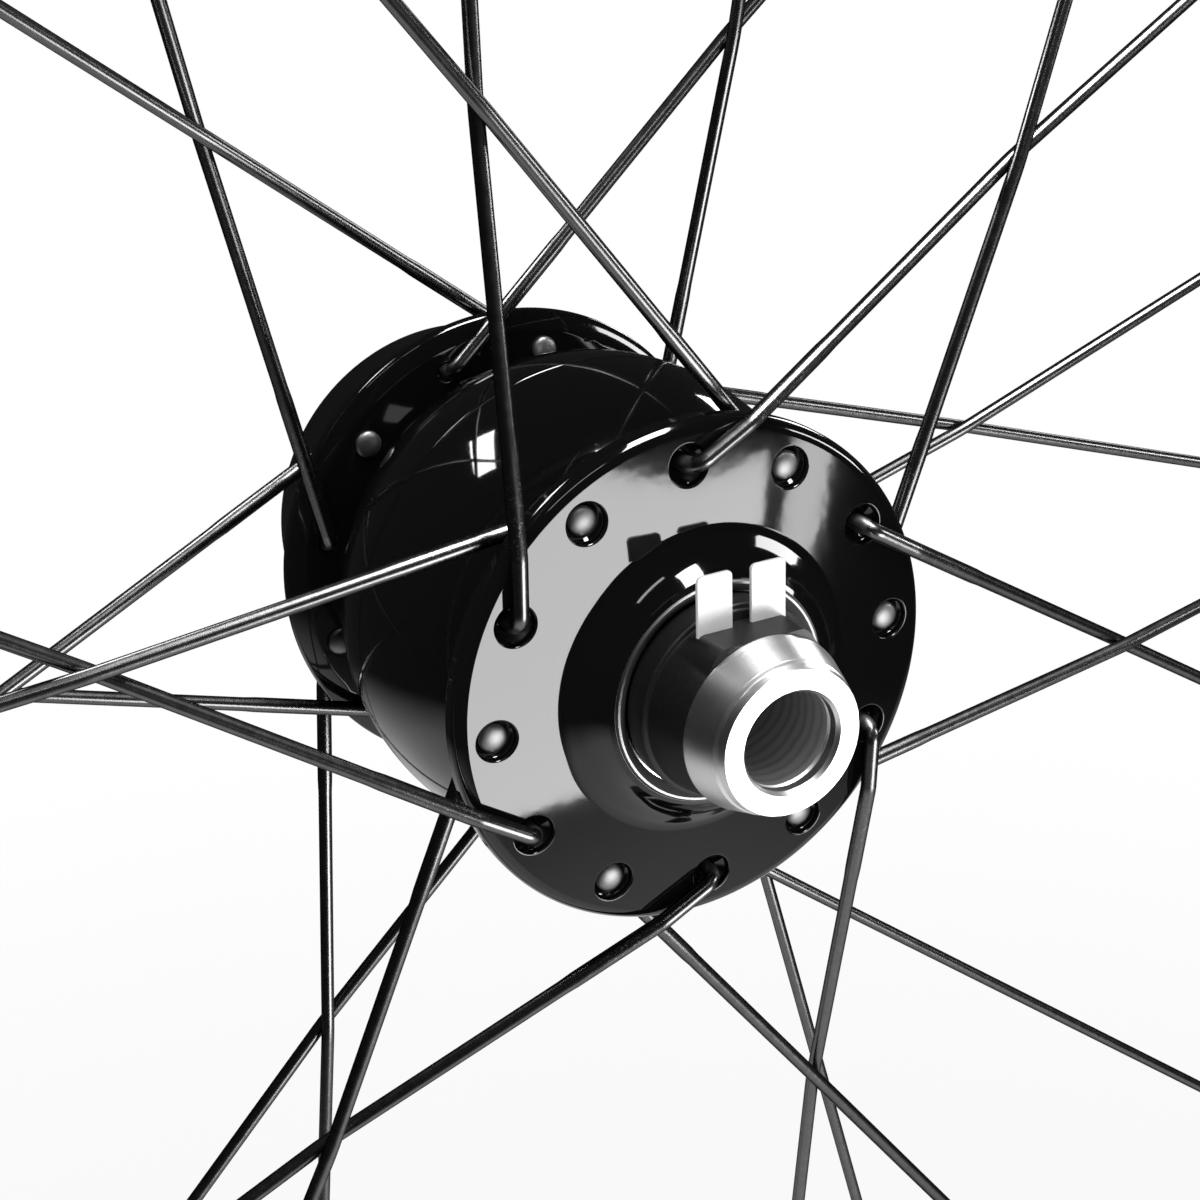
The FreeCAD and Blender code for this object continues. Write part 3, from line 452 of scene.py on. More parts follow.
class Nodes:
    """A node tree with one call for any node."""

    def __init__(self, tree):
        self.tree = tree
        tree.nodes.clear()

    def node(self, kind, settings=None, inputs=None):
        """A new node of this tree."""
        return add_node(self.tree, kind, settings, inputs)

    def value(self, kind, output=0, settings=None, inputs=None):
        """One output of a new node."""
        return Value(self.tree, self.node(kind, settings, inputs).outputs[output])

    def place(self):
        """The point's place on the object."""
        return self.value("ShaderNodeTexCoord", "Object")

    def parts(self, vector):
        """x, y and z of a vector."""
        node = self.node("ShaderNodeSeparateXYZ", inputs={"Vector": vector})
        return [Value(self.tree, output) for output in node.outputs]

    def stretched(self, scale):
        """The place scaled by a different number along each axis."""
        return self.value("ShaderNodeMapping", inputs={"Vector": self.place(), "Scale": scale})

    def noise(self, scale, detail=2.0, roughness=0.5, vector=None):
        """Cloudy noise from 0 to 1 round 0.5; scale is its spots per metre."""
        inputs = {"Vector": vector or self.place(), "Scale": scale, "Detail": detail, "Roughness": roughness}
        return self.value("ShaderNodeTexNoise", inputs=inputs)

    def line_noise(self, where, scale, detail=2.0):
        """Noise along one value, for rings and drawn lines."""
        inputs = {"W": where, "Scale": scale, "Detail": detail}
        return self.value("ShaderNodeTexNoise", settings={"noise_dimensions": "1D"}, inputs=inputs)

    def axle_distance(self):
        """Distance from the axle's middle line, in metres."""
        x, _, z = self.parts(self.place())
        return (x * x + z * z) ** 0.5

    def blend(self, factor, first, second):
        """Colour between two colours."""
        inputs = {0: factor, 6: first, 7: second}
        return self.value("ShaderNodeMix", 2, {"data_type": "RGBA"}, inputs)

    def mix(self, factor, first, second):
        """Shader between two shaders."""
        return self.value("ShaderNodeMixShader", inputs={0: factor, 1: first, 2: second})

    def bump(self, height, distance):
        """A bumped normal; distance is the height of a full step in metres."""
        return self.value("ShaderNodeBump", inputs={"Height": height, "Distance": distance})


class Finish(Nodes):
    """A material made of one Principled shader."""

    def __init__(self, name):
        self.material = bpy.data.materials.new(name)
        self.material.use_nodes = True
        super().__init__(self.material.node_tree)

    def set(self, **sockets):
        """Adds the shader with its sockets set; an underscore in a name stands for a space."""
        inputs = {name.replace("_", " "): item for name, item in sockets.items()}
        shader = self.value("ShaderNodeBsdfPrincipled", inputs=inputs)
        self.node("ShaderNodeOutputMaterial", inputs={"Surface": shader})
        return self.material


def shaded(colour_value, factor):
    """A colour made lighter or darker by a number."""
    return tuple(min(1.0, channel * factor) for channel in colour_value)


# Finishes


def shell_lacquer(colours):
    """Gloss black: a faint orange peel, a little dust and soft wiping marks."""
    finish = Finish("shell_lacquer")
    peel = finish.noise(420, 1.5, 0.4)
    dust = finish.noise(9000, 2, 0.6).between(0.7, 0.82)
    wiping = finish.noise(60, 4, 0.6)
    tint = finish.blend(dust * 0.15, colours.shell[:], (0.03, 0.03, 0.031))
    normal = finish.bump(peel, 0.000006)
    return finish.set(Base_Color=tint, Roughness=0.035 + 0.04 * wiping, Normal=normal)


def satin_rim(colours):
    """Satin black with fine marks that run round the rim."""
    finish = Finish("satin_rim")
    _, y, _ = finish.parts(finish.place())
    marks = finish.line_noise(finish.axle_distance() + y, 9000, 3)
    cloud = finish.noise(180, 3)
    grain = finish.noise(16000, 1)
    tint = finish.blend(cloud, shaded(colours.rim, 0.8), shaded(colours.rim, 1.35))
    normal = finish.bump(grain, 0.000004)
    return finish.set(Base_Color=tint, Roughness=0.34 + 0.16 * marks, Normal=normal)


def turned_silver(colours):
    """Bright turned metal: fine rings about the axle in its height and gloss, faint stains."""
    finish = Finish("turned_silver")
    _, y, _ = finish.parts(finish.place())
    rings = finish.line_noise(finish.axle_distance() + y * 0.7, 7000, 4)
    stain = finish.noise(300, 3)
    tint = finish.blend(rings, shaded(colours.silver, 0.85), colours.silver[:])
    normal = finish.bump(rings, 0.00001)
    return finish.set(Base_Color=tint, Metallic=1.0, Roughness=0.26 + 0.1 * stain, Normal=normal)


def bored_alloy(colours):
    """Axle alloy: uneven dark drill rings along the bore, bright chamfers at its ends."""
    finish = Finish("bored_alloy")
    drill_step = 0.0016
    chamfer_start = 0.0477
    _, y, _ = finish.parts(finish.place())
    waver = finish.noise(300, 2)
    rings = (y * (FULL_TURN / drill_step) + waver * 5).wave(2.0)
    fine = finish.line_noise(y, 6000, 3)
    end = abs(y).between(chamfer_start, chamfer_start + 0.0001)
    bore = finish.blend(rings * 0.45 + fine * 0.45, (0.46, 0.46, 0.46), (0.2, 0.2, 0.2))
    tint = finish.blend(end, bore, colours.silver[:])
    normal = finish.bump(fine, 0.00002)
    return finish.set(Base_Color=tint, Metallic=0.5 + 0.5 * end, Roughness=0.38 + 0.1 * fine, Normal=normal)


def moulded_plug(colours):
    """Matt black moulding with a fine spark grain and light scuffs."""
    finish = Finish("moulded_plug")
    grain = finish.noise(7000, 2)
    scuff = finish.noise(1, 3, 0.7, finish.stretched((300, 900, 2200))).between(0.6, 0.75)
    tint = finish.blend(scuff * 0.3, colours.plug[:], (0.05, 0.05, 0.05))
    normal = finish.bump(grain, 0.00002)
    return finish.set(Base_Color=tint, Roughness=0.34 + 0.2 * grain, Normal=normal)


def tinned(colours):
    """Tinned strip: fine rolling lines up the blade, satin."""
    finish = Finish("tinned")
    x, _, _ = finish.parts(finish.place())
    lines = finish.line_noise(x, 5000, 3)
    cloud = finish.noise(500, 3)
    tint = finish.blend(cloud, shaded(colours.tin, 0.88), colours.tin[:])
    normal = finish.bump(lines, 0.000006)
    return finish.set(Base_Color=tint, Metallic=0.2, Roughness=0.3 + 0.14 * cloud, Normal=normal)


def ground_ring():
    """Satin ring: rolled spring steel with rings about the axle."""
    finish = Finish("ground_ring")
    rings = finish.line_noise(finish.axle_distance(), 6000, 3)
    cloud = finish.noise(400, 3)
    tint = finish.blend(cloud, (0.24, 0.24, 0.245), (0.32, 0.32, 0.325))
    normal = finish.bump(rings, 0.00001)
    return finish.set(Base_Color=tint, Metallic=1.0, Roughness=0.4 + 0.1 * rings, Normal=normal)


def drawn_steel(colours):
    """Spoke steel: dark and drawn, with pinch marks on the thick end, a bare head and dark edges.

    The attribute along holds the way from the elbow in millimetres; the head has values below -2.
    """
    finish = Finish("drawn_steel")
    along = finish.value("ShaderNodeAttribute", "Fac", {"attribute_name": "along"})
    head = 1 - along.between(-1.9, -1.5)
    pinch = along.between(5, 7) * (1 - along.between(15, 17))
    bites = finish.noise(2600, 2, 0.6).between(0.58, 0.7) * pinch
    cloud = finish.noise(900, 3)
    steel = finish.blend(cloud, shaded(colours.spoke, 0.8), shaded(colours.spoke, 1.25))
    bitten = finish.blend(bites, steel, shaded(colours.spoke, 1.8))
    bare = finish.blend(cloud, shaded(colours.head, 0.75), shaded(colours.head, 1.2))
    tint = finish.blend(head, bitten, bare)
    gloss = 0.22 + 0.08 * cloud + 0.1 * bites + 0.18 * head
    return finish.set(Base_Color=tint, Metallic=1.0, Roughness=gloss, Specular_Tint=(0.2, 0.2, 0.2))


def nickel():
    """Nickelled brass nipples."""
    finish = Finish("nickel")
    cloud = finish.noise(1200, 3)
    tint = finish.blend(cloud, (0.5, 0.49, 0.46), (0.72, 0.71, 0.68))
    normal = finish.bump(finish.noise(5000, 2), 0.000008)
    return finish.set(Base_Color=tint, Metallic=1.0, Roughness=0.24 + 0.14 * cloud, Normal=normal)


def ground_steel(colours):
    """Bearing steel: ground rings about the axle."""
    finish = Finish("ground_steel")
    _, y, _ = finish.parts(finish.place())
    rings = finish.line_noise(finish.axle_distance() + y, 9000, 2)
    tint = finish.blend(rings, shaded(colours.steel, 0.85), colours.steel[:])
    normal = finish.bump(rings, 0.000004)
    return finish.set(Base_Color=tint, Metallic=1.0, Roughness=0.16 + 0.1 * rings, Normal=normal)


def seal_rubber():
    """Black rubber of the seals: matt, moulded."""
    finish = Finish("seal_rubber")
    grain = finish.noise(6000, 2)
    tint = finish.blend(grain, (0.014, 0.014, 0.014), (0.03, 0.03, 0.03))
    return finish.set(Base_Color=tint, Roughness=0.5 + 0.2 * grain, Normal=finish.bump(grain, 0.00002))


def pressed_steel():
    """Grey pressed steel of the claws and the yoke: rolled, faintly oiled."""
    finish = Finish("pressed_steel")
    cloud = finish.noise(400, 4)
    rolled = finish.noise(1, 3, 0.6, finish.stretched((4000, 400, 400)))
    tint = finish.blend(cloud, (0.3, 0.3, 0.31), (0.46, 0.46, 0.47))
    normal = finish.bump(rolled, 0.00001)
    return finish.set(Base_Color=tint, Metallic=1.0, Roughness=0.34 + 0.16 * cloud, Normal=normal)


def ferrite():
    """Magnet ferrite: dull grey and granular."""
    finish = Finish("ferrite")
    grains = finish.noise(5000, 3, 0.7)
    tint = finish.blend(grains, (0.07, 0.07, 0.075), (0.17, 0.17, 0.175))
    return finish.set(Base_Color=tint, Roughness=0.6 + 0.2 * grains, Normal=finish.bump(grains, 0.00003))


def bobbin_nylon():
    """Pale moulded nylon of the bobbin."""
    finish = Finish("bobbin_nylon")
    cloud = finish.noise(300, 2)
    tint = finish.blend(cloud, (0.72, 0.71, 0.66), (0.84, 0.83, 0.79))
    normal = finish.bump(finish.noise(5000, 1), 0.00001)
    return finish.set(Base_Color=tint, Roughness=0.4 + 0.1 * cloud, Normal=normal)


def wound_copper():
    """Lacquered copper wire: the turns lie side by side along the axle."""
    finish = Finish("wound_copper")
    wire = 0.00045
    _, y, _ = finish.parts(finish.place())
    turns = (y * (FULL_TURN / wire)).wave()
    cloud = finish.noise(900, 3)
    tint = finish.blend(cloud, (0.52, 0.19, 0.08), (0.78, 0.36, 0.17))
    normal = finish.bump(turns, 0.00012)
    return finish.set(Base_Color=tint, Metallic=1.0, Roughness=0.26 + 0.12 * cloud, Normal=normal)


# Hub shells


def barrel_radius(hub, station):
    """The barrel's radius at station y: centre + sqrt(R^2 - (y - middle)^2)."""
    return hub.barrel_centre + np.sqrt(hub.barrel_arc ** 2 - (station - hub.barrel_middle) ** 2)


def barrel_points(hub, start, end, number):
    """Corners along the barrel's arc from one station to another."""
    station = np.linspace(start, end, number)
    return [(r, y, 0) for r, y in zip(barrel_radius(hub, station), station)]


def cone_station(hub, face, radius):
    """Station of a flange's coned outer face at a radius; at the hole circle it is the face's own."""
    return face + math.copysign(math.tan(hub.face_slope), face) * (hub.hole_circle - radius)


def leaning(hub, points, face, inner):
    """Points of a flange shifted so that its outer face becomes a shallow cone through the hole circle.

    The shift is (hole circle - radius) times the slope's tangent at the face and fades to none at
    the inner face.
    """
    radius = np.hypot(points[..., 0], points[..., 2])
    share = np.clip((points[..., 1] - inner) / (face - inner), 0, 1)
    moved = points.copy()
    moved[..., 1] += share * (cone_station(hub, face, radius) - face)
    return moved


def flange_skin(skin, hub, face, inner, root_face, root_inner, first_hole, bevel=0.0, taper=0.0):
    """Adds the edge of a flange and its spoke holes, each with a funnel sunk in the outer face.

    The two faces reach in to the root radii. The outer edge is cut off by bevel, and at the edge the
    inner face turns away by taper. Returns the angle at which the turned outlines beside it start.
    """
    flat = hub.flange_radius - hub.flange_edge - 0.1
    flat_inner = hub.flange_radius - hub.inner_edge - 0.1 - taper
    out = math.copysign(1, face - inner)
    rounding = hub.flange_edge * (0.35 if bevel else 1)
    edge = [
        (flat_inner, inner, 0),
        (hub.flange_radius, inner + out * taper, hub.inner_edge),
        (hub.flange_radius, face - out * 0.6 * bevel, rounding),
    ]
    if bevel:
        edge.append((hub.flange_radius - 0.9 * bevel, face, 0.4))
    edge.append((flat, face, 0))
    half = math.pi / hub.holes
    start = first_hole - half
    skin.grid(leaning(hub, turned(outline(edge), hub.segments, start), face, inner))
    lip = 0.2
    wall = outline([
        (hub.seat_radius + lip + 0.1, face, 0),
        (hub.seat_radius, face, lip),
        (hub.seat_radius, face - out * hub.seat_wall, 0.3),
        (hub.hole_radius, face - out * hub.seat_depth, 0.3),
        (hub.hole_radius, inner, 0.2),
        (hub.hole_radius + 0.35, inner, 0),
    ], steps=5)
    borders = [(root_face, flat), (root_inner, flat_inner)]
    hole = hole_grid(hub.hole_circle, wall, borders, half, hub.segments // hub.holes, side_steps=10)
    for k in range(hub.holes):
        skin.grid(leaning(hub, turned_about_axle(hole, first_hole + 2 * k * half), face, inner))
    return start


class WHEEL_OT_hub_shells(bpy.types.Operator):
    """Adds the two black hub shells with their spoke holes"""

    bl_idname = "wheel.hub_shells"
    bl_label = "Hub Shells"
    bl_options = {"REGISTER", "UNDO"}

    def execute(self, context):
        """Builds both shells, each for its CAD node."""
        hub = in_mm(context.scene.hub_sizes)
        lacquer = shell_lacquer(context.scene.finishes)
        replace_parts(self.right_shell(hub, lacquer), "hub_shell_right")
        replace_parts(self.left_shell(hub, lacquer), "hub_shell_left")
        return {"FINISHED"}

    def right_shell(self, hub, lacquer):
        """Right half: boss round the axle, flange, barrel, socket of the joint and bearing seat."""
        skin = Skin()
        face_root, inner_root = 20.6, 22.4
        start = flange_skin(
            skin, hub, hub.right_face, hub.right_inner, face_root, inner_root, hub.right_angle)
        slope_foot = 18.9
        slope_middle = (16.2, -32.2, 8.0)
        mouth = hub.right_face - hub.boss_height
        bearing_floor, passage_end, bay_end, yoke_end, socket_floor = -28.5, -27.0, -18.0, -12.5, -4.5
        line = outline([
            (face_root, cone_station(hub, hub.right_face, face_root), 0),
            (slope_foot, cone_station(hub, hub.right_face, slope_foot), hub.boss_fillet),
            slope_middle,
            (hub.boss_radius, mouth + 0.4, 0.2),
            (hub.mouth_radius, mouth, 0.1),
            (hub.mouth_radius, hub.ring_seat, 0),
            (hub.bearing_radius, hub.ring_seat, 0.1),
            (hub.bearing_radius, bearing_floor, 0),
            (hub.passage_radius, bearing_floor, 0),
            (hub.passage_radius, passage_end, 0),
            (hub.bay_radius, bay_end, 0.3),
            (hub.bay_radius, yoke_end, 0),
            (hub.yoke_radius, yoke_end, 0.3),
            (hub.yoke_radius, socket_floor, 0),
            (hub.joint_radius, socket_floor, 0.1),
            (hub.joint_radius, hub.parting, 0.1),
            (hub.crown_radius, hub.parting, 0.3),
            *barrel_points(hub, hub.parting - 0.7, hub.right_inner + 2.2, 30),
            (barrel_radius(hub, hub.right_inner), hub.right_inner, 0.5),
            (inner_root, hub.right_inner, 0),
        ])
        skin.grid(turned(line, hub.segments, start))
        return skin.make("right_hub_shell", "wheel", "shell_black", lacquer)

    def left_shell(self, hub, lacquer):
        """Left half: joint spigot, barrel, flange, neck and the brake rotor's seat with six bolt holes."""
        skin = Skin()
        face_root, inner_root = 20.4, 24.4
        start = flange_skin(
            skin, hub, hub.left_face, hub.left_inner, face_root, inner_root, hub.left_angle,
            hub.left_bevel, hub.left_taper)
        rotor_root, rotor_flat = 17.9, 24.9
        mouth, bearing_floor, passage_end = 41.9, 35.0, 24.0
        bay_mouth, bay_end, yoke_end = (16.0, 19.0, 0), 14.0, 7.5
        joint_tip, joint_play = -4.4, 0.05
        barrel = outline([
            (rotor_root, hub.rotor_face, 0),
            (hub.spigot_radius, hub.rotor_face, 0.15),
            (hub.spigot_radius, mouth, 0.25),
            (hub.bearing_radius, mouth, 0.2),
            (hub.bearing_radius, bearing_floor, 0),
            (hub.passage_radius, bearing_floor, 0),
            (hub.passage_radius, passage_end, 0),
            bay_mouth,
            (hub.bay_radius, bay_end, 0.3),
            (hub.bay_radius, yoke_end, 0),
            (hub.yoke_radius, yoke_end, 0.3),
            (hub.yoke_radius, joint_tip, 0.1),
            (hub.joint_radius - joint_play, joint_tip, 0.1),
            (hub.joint_radius - joint_play, hub.parting, 0),
            (hub.crown_radius, hub.parting, 0.3),
            *barrel_points(hub, hub.parting + 0.7, hub.left_inner - 1.9, 25),
            (barrel_radius(hub, hub.left_inner), hub.left_inner, 0.5),
            (inner_root, hub.left_inner, 0),
        ])
        skin.grid(turned(barrel, hub.segments, start))
        neck_radius, neck_end, rotor_shoulder = 19.5, 29.0, (27.0, 31.0, 0.8)
        neck = outline([
            (face_root, cone_station(hub, hub.left_face, face_root), 0),
            (neck_radius, cone_station(hub, hub.left_face, neck_radius), 0.6),
            (neck_radius, neck_end, 1.0),
            rotor_shoulder,
            (rotor_flat + 0.5, hub.rotor_face, 0.4),
            (rotor_flat, hub.rotor_face, 0),
        ])
        skin.grid(turned(neck, hub.segments, start))
        bolt_floor = hub.rotor_face - 8
        wall = outline([
            (hub.bolt_radius + 0.5, hub.rotor_face, 0),
            (hub.bolt_radius, hub.rotor_face, 0.25),
            (hub.bolt_radius, bolt_floor, 0.3),
            (0.0, bolt_floor, 0),
        ], steps=4)
        bolts = 6
        borders = [(rotor_root, rotor_flat)]
        hole = hole_grid(hub.bolt_circle, wall, borders, math.pi / bolts, hub.segments // bolts, side_steps=8)
        for k in range(bolts):
            skin.grid(turned_about_axle(hole, hub.left_angle + k * FULL_TURN / bolts))
        return skin.make("left_hub_shell", "wheel", "shell_black", lacquer)


# Axle, caps, rings and plug


class WHEEL_OT_axle_ends(bpy.types.Operator):
    """Adds the hollow axle, the two turned end caps and the two retaining rings"""

    bl_idname = "wheel.axle_ends"
    bl_label = "Axle and Caps"
    bl_options = {"REGISTER", "UNDO"}

    def execute(self, context):
        """Turns the five pieces."""
        hub = in_mm(context.scene.hub_sizes)
        axle = in_mm(context.scene.axle_sizes)
        self.caps(axle, turned_silver(context.scene.finishes))
        self.axle(axle, bored_alloy(context.scene.finishes))
        self.rings(hub, ground_ring())
        return {"FINISHED"}

    def lathe(self, name, node, body, slot, finish, corners):
        """A closed outline turned about the axle; it stands for one CAD node."""
        skin = Skin().grid(turned(outline(corners, 5, closed=True), 192), closed_rows=True)
        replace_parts(skin.make(name, body, slot, finish), node)

    def caps(self, axle, silver):
        """Both end caps: chamfered bore, face, lip, crease and cone, with a foot on the left one."""
        end = axle.end
        face_radius, lip_radius, crease_radius, cone_start = 8.95, 9.25, 9.0, (9.5, end - 1.55, 0.15)
        nose = [
            (axle.bore, end - 0.5, 0.1), (axle.bore + 0.4, end, 0.1), (face_radius, end, 0.15),
            (lip_radius, end - 0.95, 0.1), (crease_radius, end - 1.2, 0.08), cone_start,
        ]
        self.lathe("right_cap", "right_end_cap", "axle_assembly", "cap_silver", silver, mirrored([
            *nose, (axle.cap_radius, axle.shoulder, 0.25), (axle.tip_radius, axle.shoulder, 0),
            (axle.tip_radius, axle.tip, 0), (axle.bore, axle.tip, 0),
        ]))
        foot_radius, foot_end, flange_radius, flange_start = 9.9, 40.0, 12.2, 42.4
        self.lathe("left_cap", "left_end_cap", "axle_assembly", "cap_silver", silver, [
            (axle.tip_radius, foot_end, 0), (foot_radius, foot_end, 0), (foot_radius, flange_start, 0),
            (flange_radius, flange_start, 0.15), (flange_radius, axle.shoulder - 0.5, 0.3),
            (axle.cap_radius, axle.shoulder, 0.3), *reversed(nose),
            (axle.bore, axle.tip, 0), (axle.tip_radius, axle.tip, 0),
        ])

    def axle(self, axle, alloy):
        """The hollow axle with a stepped and chamfered tip at each end."""
        tip = [
            (axle.bore, axle.tip - 0.6, 0.05), (axle.bore + 0.45, axle.tip, 0.05),
            (axle.tip_radius, axle.tip, 0.1), (axle.tip_radius, axle.shoulder, 0),
            (axle.radius, axle.shoulder, 0.1),
        ]
        corners = [*mirrored(tip), *reversed(tip)]
        self.lathe("bored_axle", "axle", "axle_assembly", "axle_alloy", alloy, corners)

    def rings(self, hub, steel):
        """The retaining rings: a conical one in the boss's mouth and a flat one on the left."""
        inner, crest_inner, crest_outer, top = 12.4, 13.45, 13.75, hub.ring_seat - 1.1
        self.lathe("mouth_ring", "retaining_ring_right", "wheel", "ring_silver", steel, [
            (inner, hub.ring_seat - 0.25, 0.04), (crest_inner, top, 0.06), (crest_outer, top, 0.06),
            (hub.mouth_radius, top + 0.4, 0.1), (hub.mouth_radius, hub.ring_seat, 0.1),
            (inner, hub.ring_seat, 0.04),
        ])
        flat_inner, near, far = 11.9, 40.0, 41.0
        self.lathe("bore_ring", "retaining_ring_left", "wheel", "ring_silver", steel, [
            (flat_inner, near, 0.1), (hub.bearing_radius, near, 0.1), (hub.bearing_radius, far, 0.12),
            (flat_inner, far, 0.12),
        ])


class WHEEL_OT_plug(bpy.types.Operator):
    """Adds the moulded plug on the axle and its two terminals"""

    bl_idname = "wheel.plug"
    bl_label = "Plug and Terminals"
    bl_options = {"REGISTER", "UNDO"}

    def execute(self, context):
        """Turns the plug's sleeve, cuts its flat and adds a blade on each side."""
        colours = context.scene.finishes
        hub = in_mm(context.scene.hub_sizes)
        axle = in_mm(context.scene.axle_sizes)
        skin = Skin().grid(self.sleeve(hub, axle), closed_rows=True)
        plug = skin.make("plug_sleeve", "axle_assembly", "plug_black", moulded_plug(colours), sharp=20)
        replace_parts(plug, "connector_body")
        tin = tinned(colours)
        for side, node in ((1, "front_terminal"), (-1, "rear_terminal")):
            middle = (side * axle.blade_offset, axle.blade_level)
            blade = pillow(
                middle, axle.blade_half_width, axle.blade_half_length, 0.65,
                axle.blade_near, axle.blade_far, edge=0.1, steps=6)
            piece = Skin().grid(blade).make(node + "_blade", "axle_assembly", "terminal_tin", tin)
            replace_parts(piece, node)
        return {"FINISHED"}

    def sleeve(self, hub, axle):
        """The turned sleeve, its top cut off level under the terminals.

        A top point's height becomes min(max(z, flat - 0.5 d^2), flat), where d is how far the point
        lies beside the flat's half width, so that the flat ends in soft shoulders.
        """
        rim_radius, rim_end, spigot_radius, cone_end = 12.2, -37.4, 10.0, 10.6
        foot, before_flat, behind_flat = (11.6, -37.6, 0.2), (11.52, -38.0, 0), (11.5, -38.1, 0)
        line = outline([
            (axle.radius, hub.ring_seat, 0),
            (spigot_radius, hub.ring_seat, 0),
            (spigot_radius, hub.ring_seat - 0.5, 0.1),
            (rim_radius, hub.ring_seat - 0.5, 0.15),
            (rim_radius, rim_end, 0.35),
            foot,
            before_flat,
            behind_flat,
            (cone_end, -axle.shoulder, 0.25),
            (axle.radius, -axle.shoulder, 0.1),
        ], closed=True)
        shape = turned(line, 384)
        flat_start, bore_side = -38.05, axle.radius + 0.5
        x, y, z = shape[..., 0], shape[..., 1], shape[..., 2]
        top = (y < flat_start) & (z > 0) & (np.hypot(x, z) > bore_side)
        beside = np.maximum(np.abs(x) - axle.plug_half_width, 0)
        shoulder = np.maximum(z, axle.plug_flat - 0.5 * beside ** 2)
        shape[..., 2] = np.where(top, np.minimum(shoulder, axle.plug_flat), z)
        return shape


# Spokes


def spoke_way(hub, spoke, turn):
    """Unit direction of a spoke's way, seen along the axle, and its length from hole to aim point."""
    rim_point = np.array([math.cos(spoke.lead), turn * math.sin(spoke.lead)]) * spoke.aim_radius
    way = rim_point - np.array([hub.hole_circle, 0])
    reach = np.linalg.norm(way)
    return way / reach, reach


def way_to_angle(hub, direction, passed):
    """Way along the spoke to where it has gone an angle round the axle, by the sine rule."""
    slope = math.atan2(abs(direction[1]), direction[0])
    return hub.hole_circle * math.sin(passed) / math.sin(slope - passed)


def way_to_radius(hub, direction, radius):
    """Way along the spoke to a radius, from the circle it crosses."""
    inward = direction[0] * hub.hole_circle
    return -inward + math.sqrt(inward ** 2 + radius ** 2 - hub.hole_circle ** 2)


def lacing(hub, spoke):
    """The four kinds of spoke, an outer and an inner one on each side.

    A kind has its side's name, the face it leaves and the way out of it, the other face, where its
    head sits, the station at which that face's spokes lie, its turn round the axle, the angle of its
    first hole and its first number.
    """
    pitch = FULL_TURN / hub.holes
    sides = (
        ("right", hub.right_face, hub.right_inner, -1, hub.right_angle, pitch),
        ("left", hub.left_face, hub.left_inner, 1, hub.left_angle, 0.0),
    )
    kinds = []
    for side, outer, inner, away, first_hole, shift in sides:
        kinds.append(SimpleNamespace(
            side=side, face=outer, outward=away, other_face=inner,
            other_lie=inner - away * spoke.standoff, turn=away, angle=first_hole + shift, first=1))
        kinds.append(SimpleNamespace(
            side=side, face=inner, outward=-away, other_face=outer,
            other_lie=outer + away * spoke.standoff, turn=-away, angle=first_hole + pitch - shift, first=2))
    return kinds


def spoke_corners(hub, spoke, kind):
    """Corners of the centre line as (way, station, rounding): elbow, flange edge, crossing, aim."""
    direction, reach = spoke_way(hub, spoke, kind.turn)
    lie = kind.face + kind.outward * spoke.standoff
    side = math.copysign(1, lie)
    crossing = way_to_angle(hub, direction, 3 * math.pi / hub.holes)
    mean = (lie + kind.other_lie) / 2 * (1 - crossing / reach)
    under = spoke.thin_radius + spoke.gap
    outer = kind.outward == side
    corners = [(0.0, lie, spoke.elbow_radius)]
    if outer:
        edge = way_to_radius(hub, direction, hub.flange_radius - 0.4)
        corners.append((edge, kind.face + kind.outward * (spoke.thick_radius + spoke.gap), 6.0))
    corners.append((crossing, mean - side * under if outer else mean + side * under, 40.0))
    corners.append((reach, 0.0, 0))
    return corners


def spoke_line(spoke, seat, corners):
    """The centre line from the head's seat to the rim, and each point's way from the elbow's end.

    Besides the outline's own points it has more along the thick end and its taper, and one half way
    along the last stretch.
    """
    bend_steps = 10
    line = outline([(0.0, seat, 0), *corners], bend_steps)
    passed = np.concatenate([[0], np.cumsum(np.linalg.norm(np.diff(line, axis=0), axis=1))])
    thick_end = np.arange(1, 15) / 15 * (spoke.thick_length + spoke.taper_length + 4)
    marks = np.unique(np.concatenate([passed[1:], passed[1] + thick_end, [passed[-2:].mean()]]))
    centre = np.stack([np.interp(marks, passed, line[:, 0]), np.interp(marks, passed, line[:, 1])], axis=-1)
    elbow_end = passed[bend_steps + 3]
    return centre, marks - elbow_end


def tube(hub, direction, centre, ahead, radius):
    """A section carried along a line in the plane of a spoke's way and the axle.

    centre and ahead have a row of (way, station) for each section, radius a row of the section's
    radii. A point is the centre plus its radius times (cos a across the line + sin a square to the plane).
    """
    way = np.array([direction[0], 0, direction[1]])
    axle = np.array([0, 1.0, 0])
    around = np.arange(radius.shape[1]) * FULL_TURN / radius.shape[1]
    middle = np.array([hub.hole_circle, 0, 0]) + centre[:, :1] * way + centre[:, 1:] * axle
    across = -ahead[:, 1:] * way + ahead[:, :1] * axle
    square = np.cross(way, axle)
    ring = np.cos(around)[None, :, None] * across[:, None, :] + np.sin(around)[None, :, None] * square
    return middle[:, None, :] + radius[:, :, None] * ring


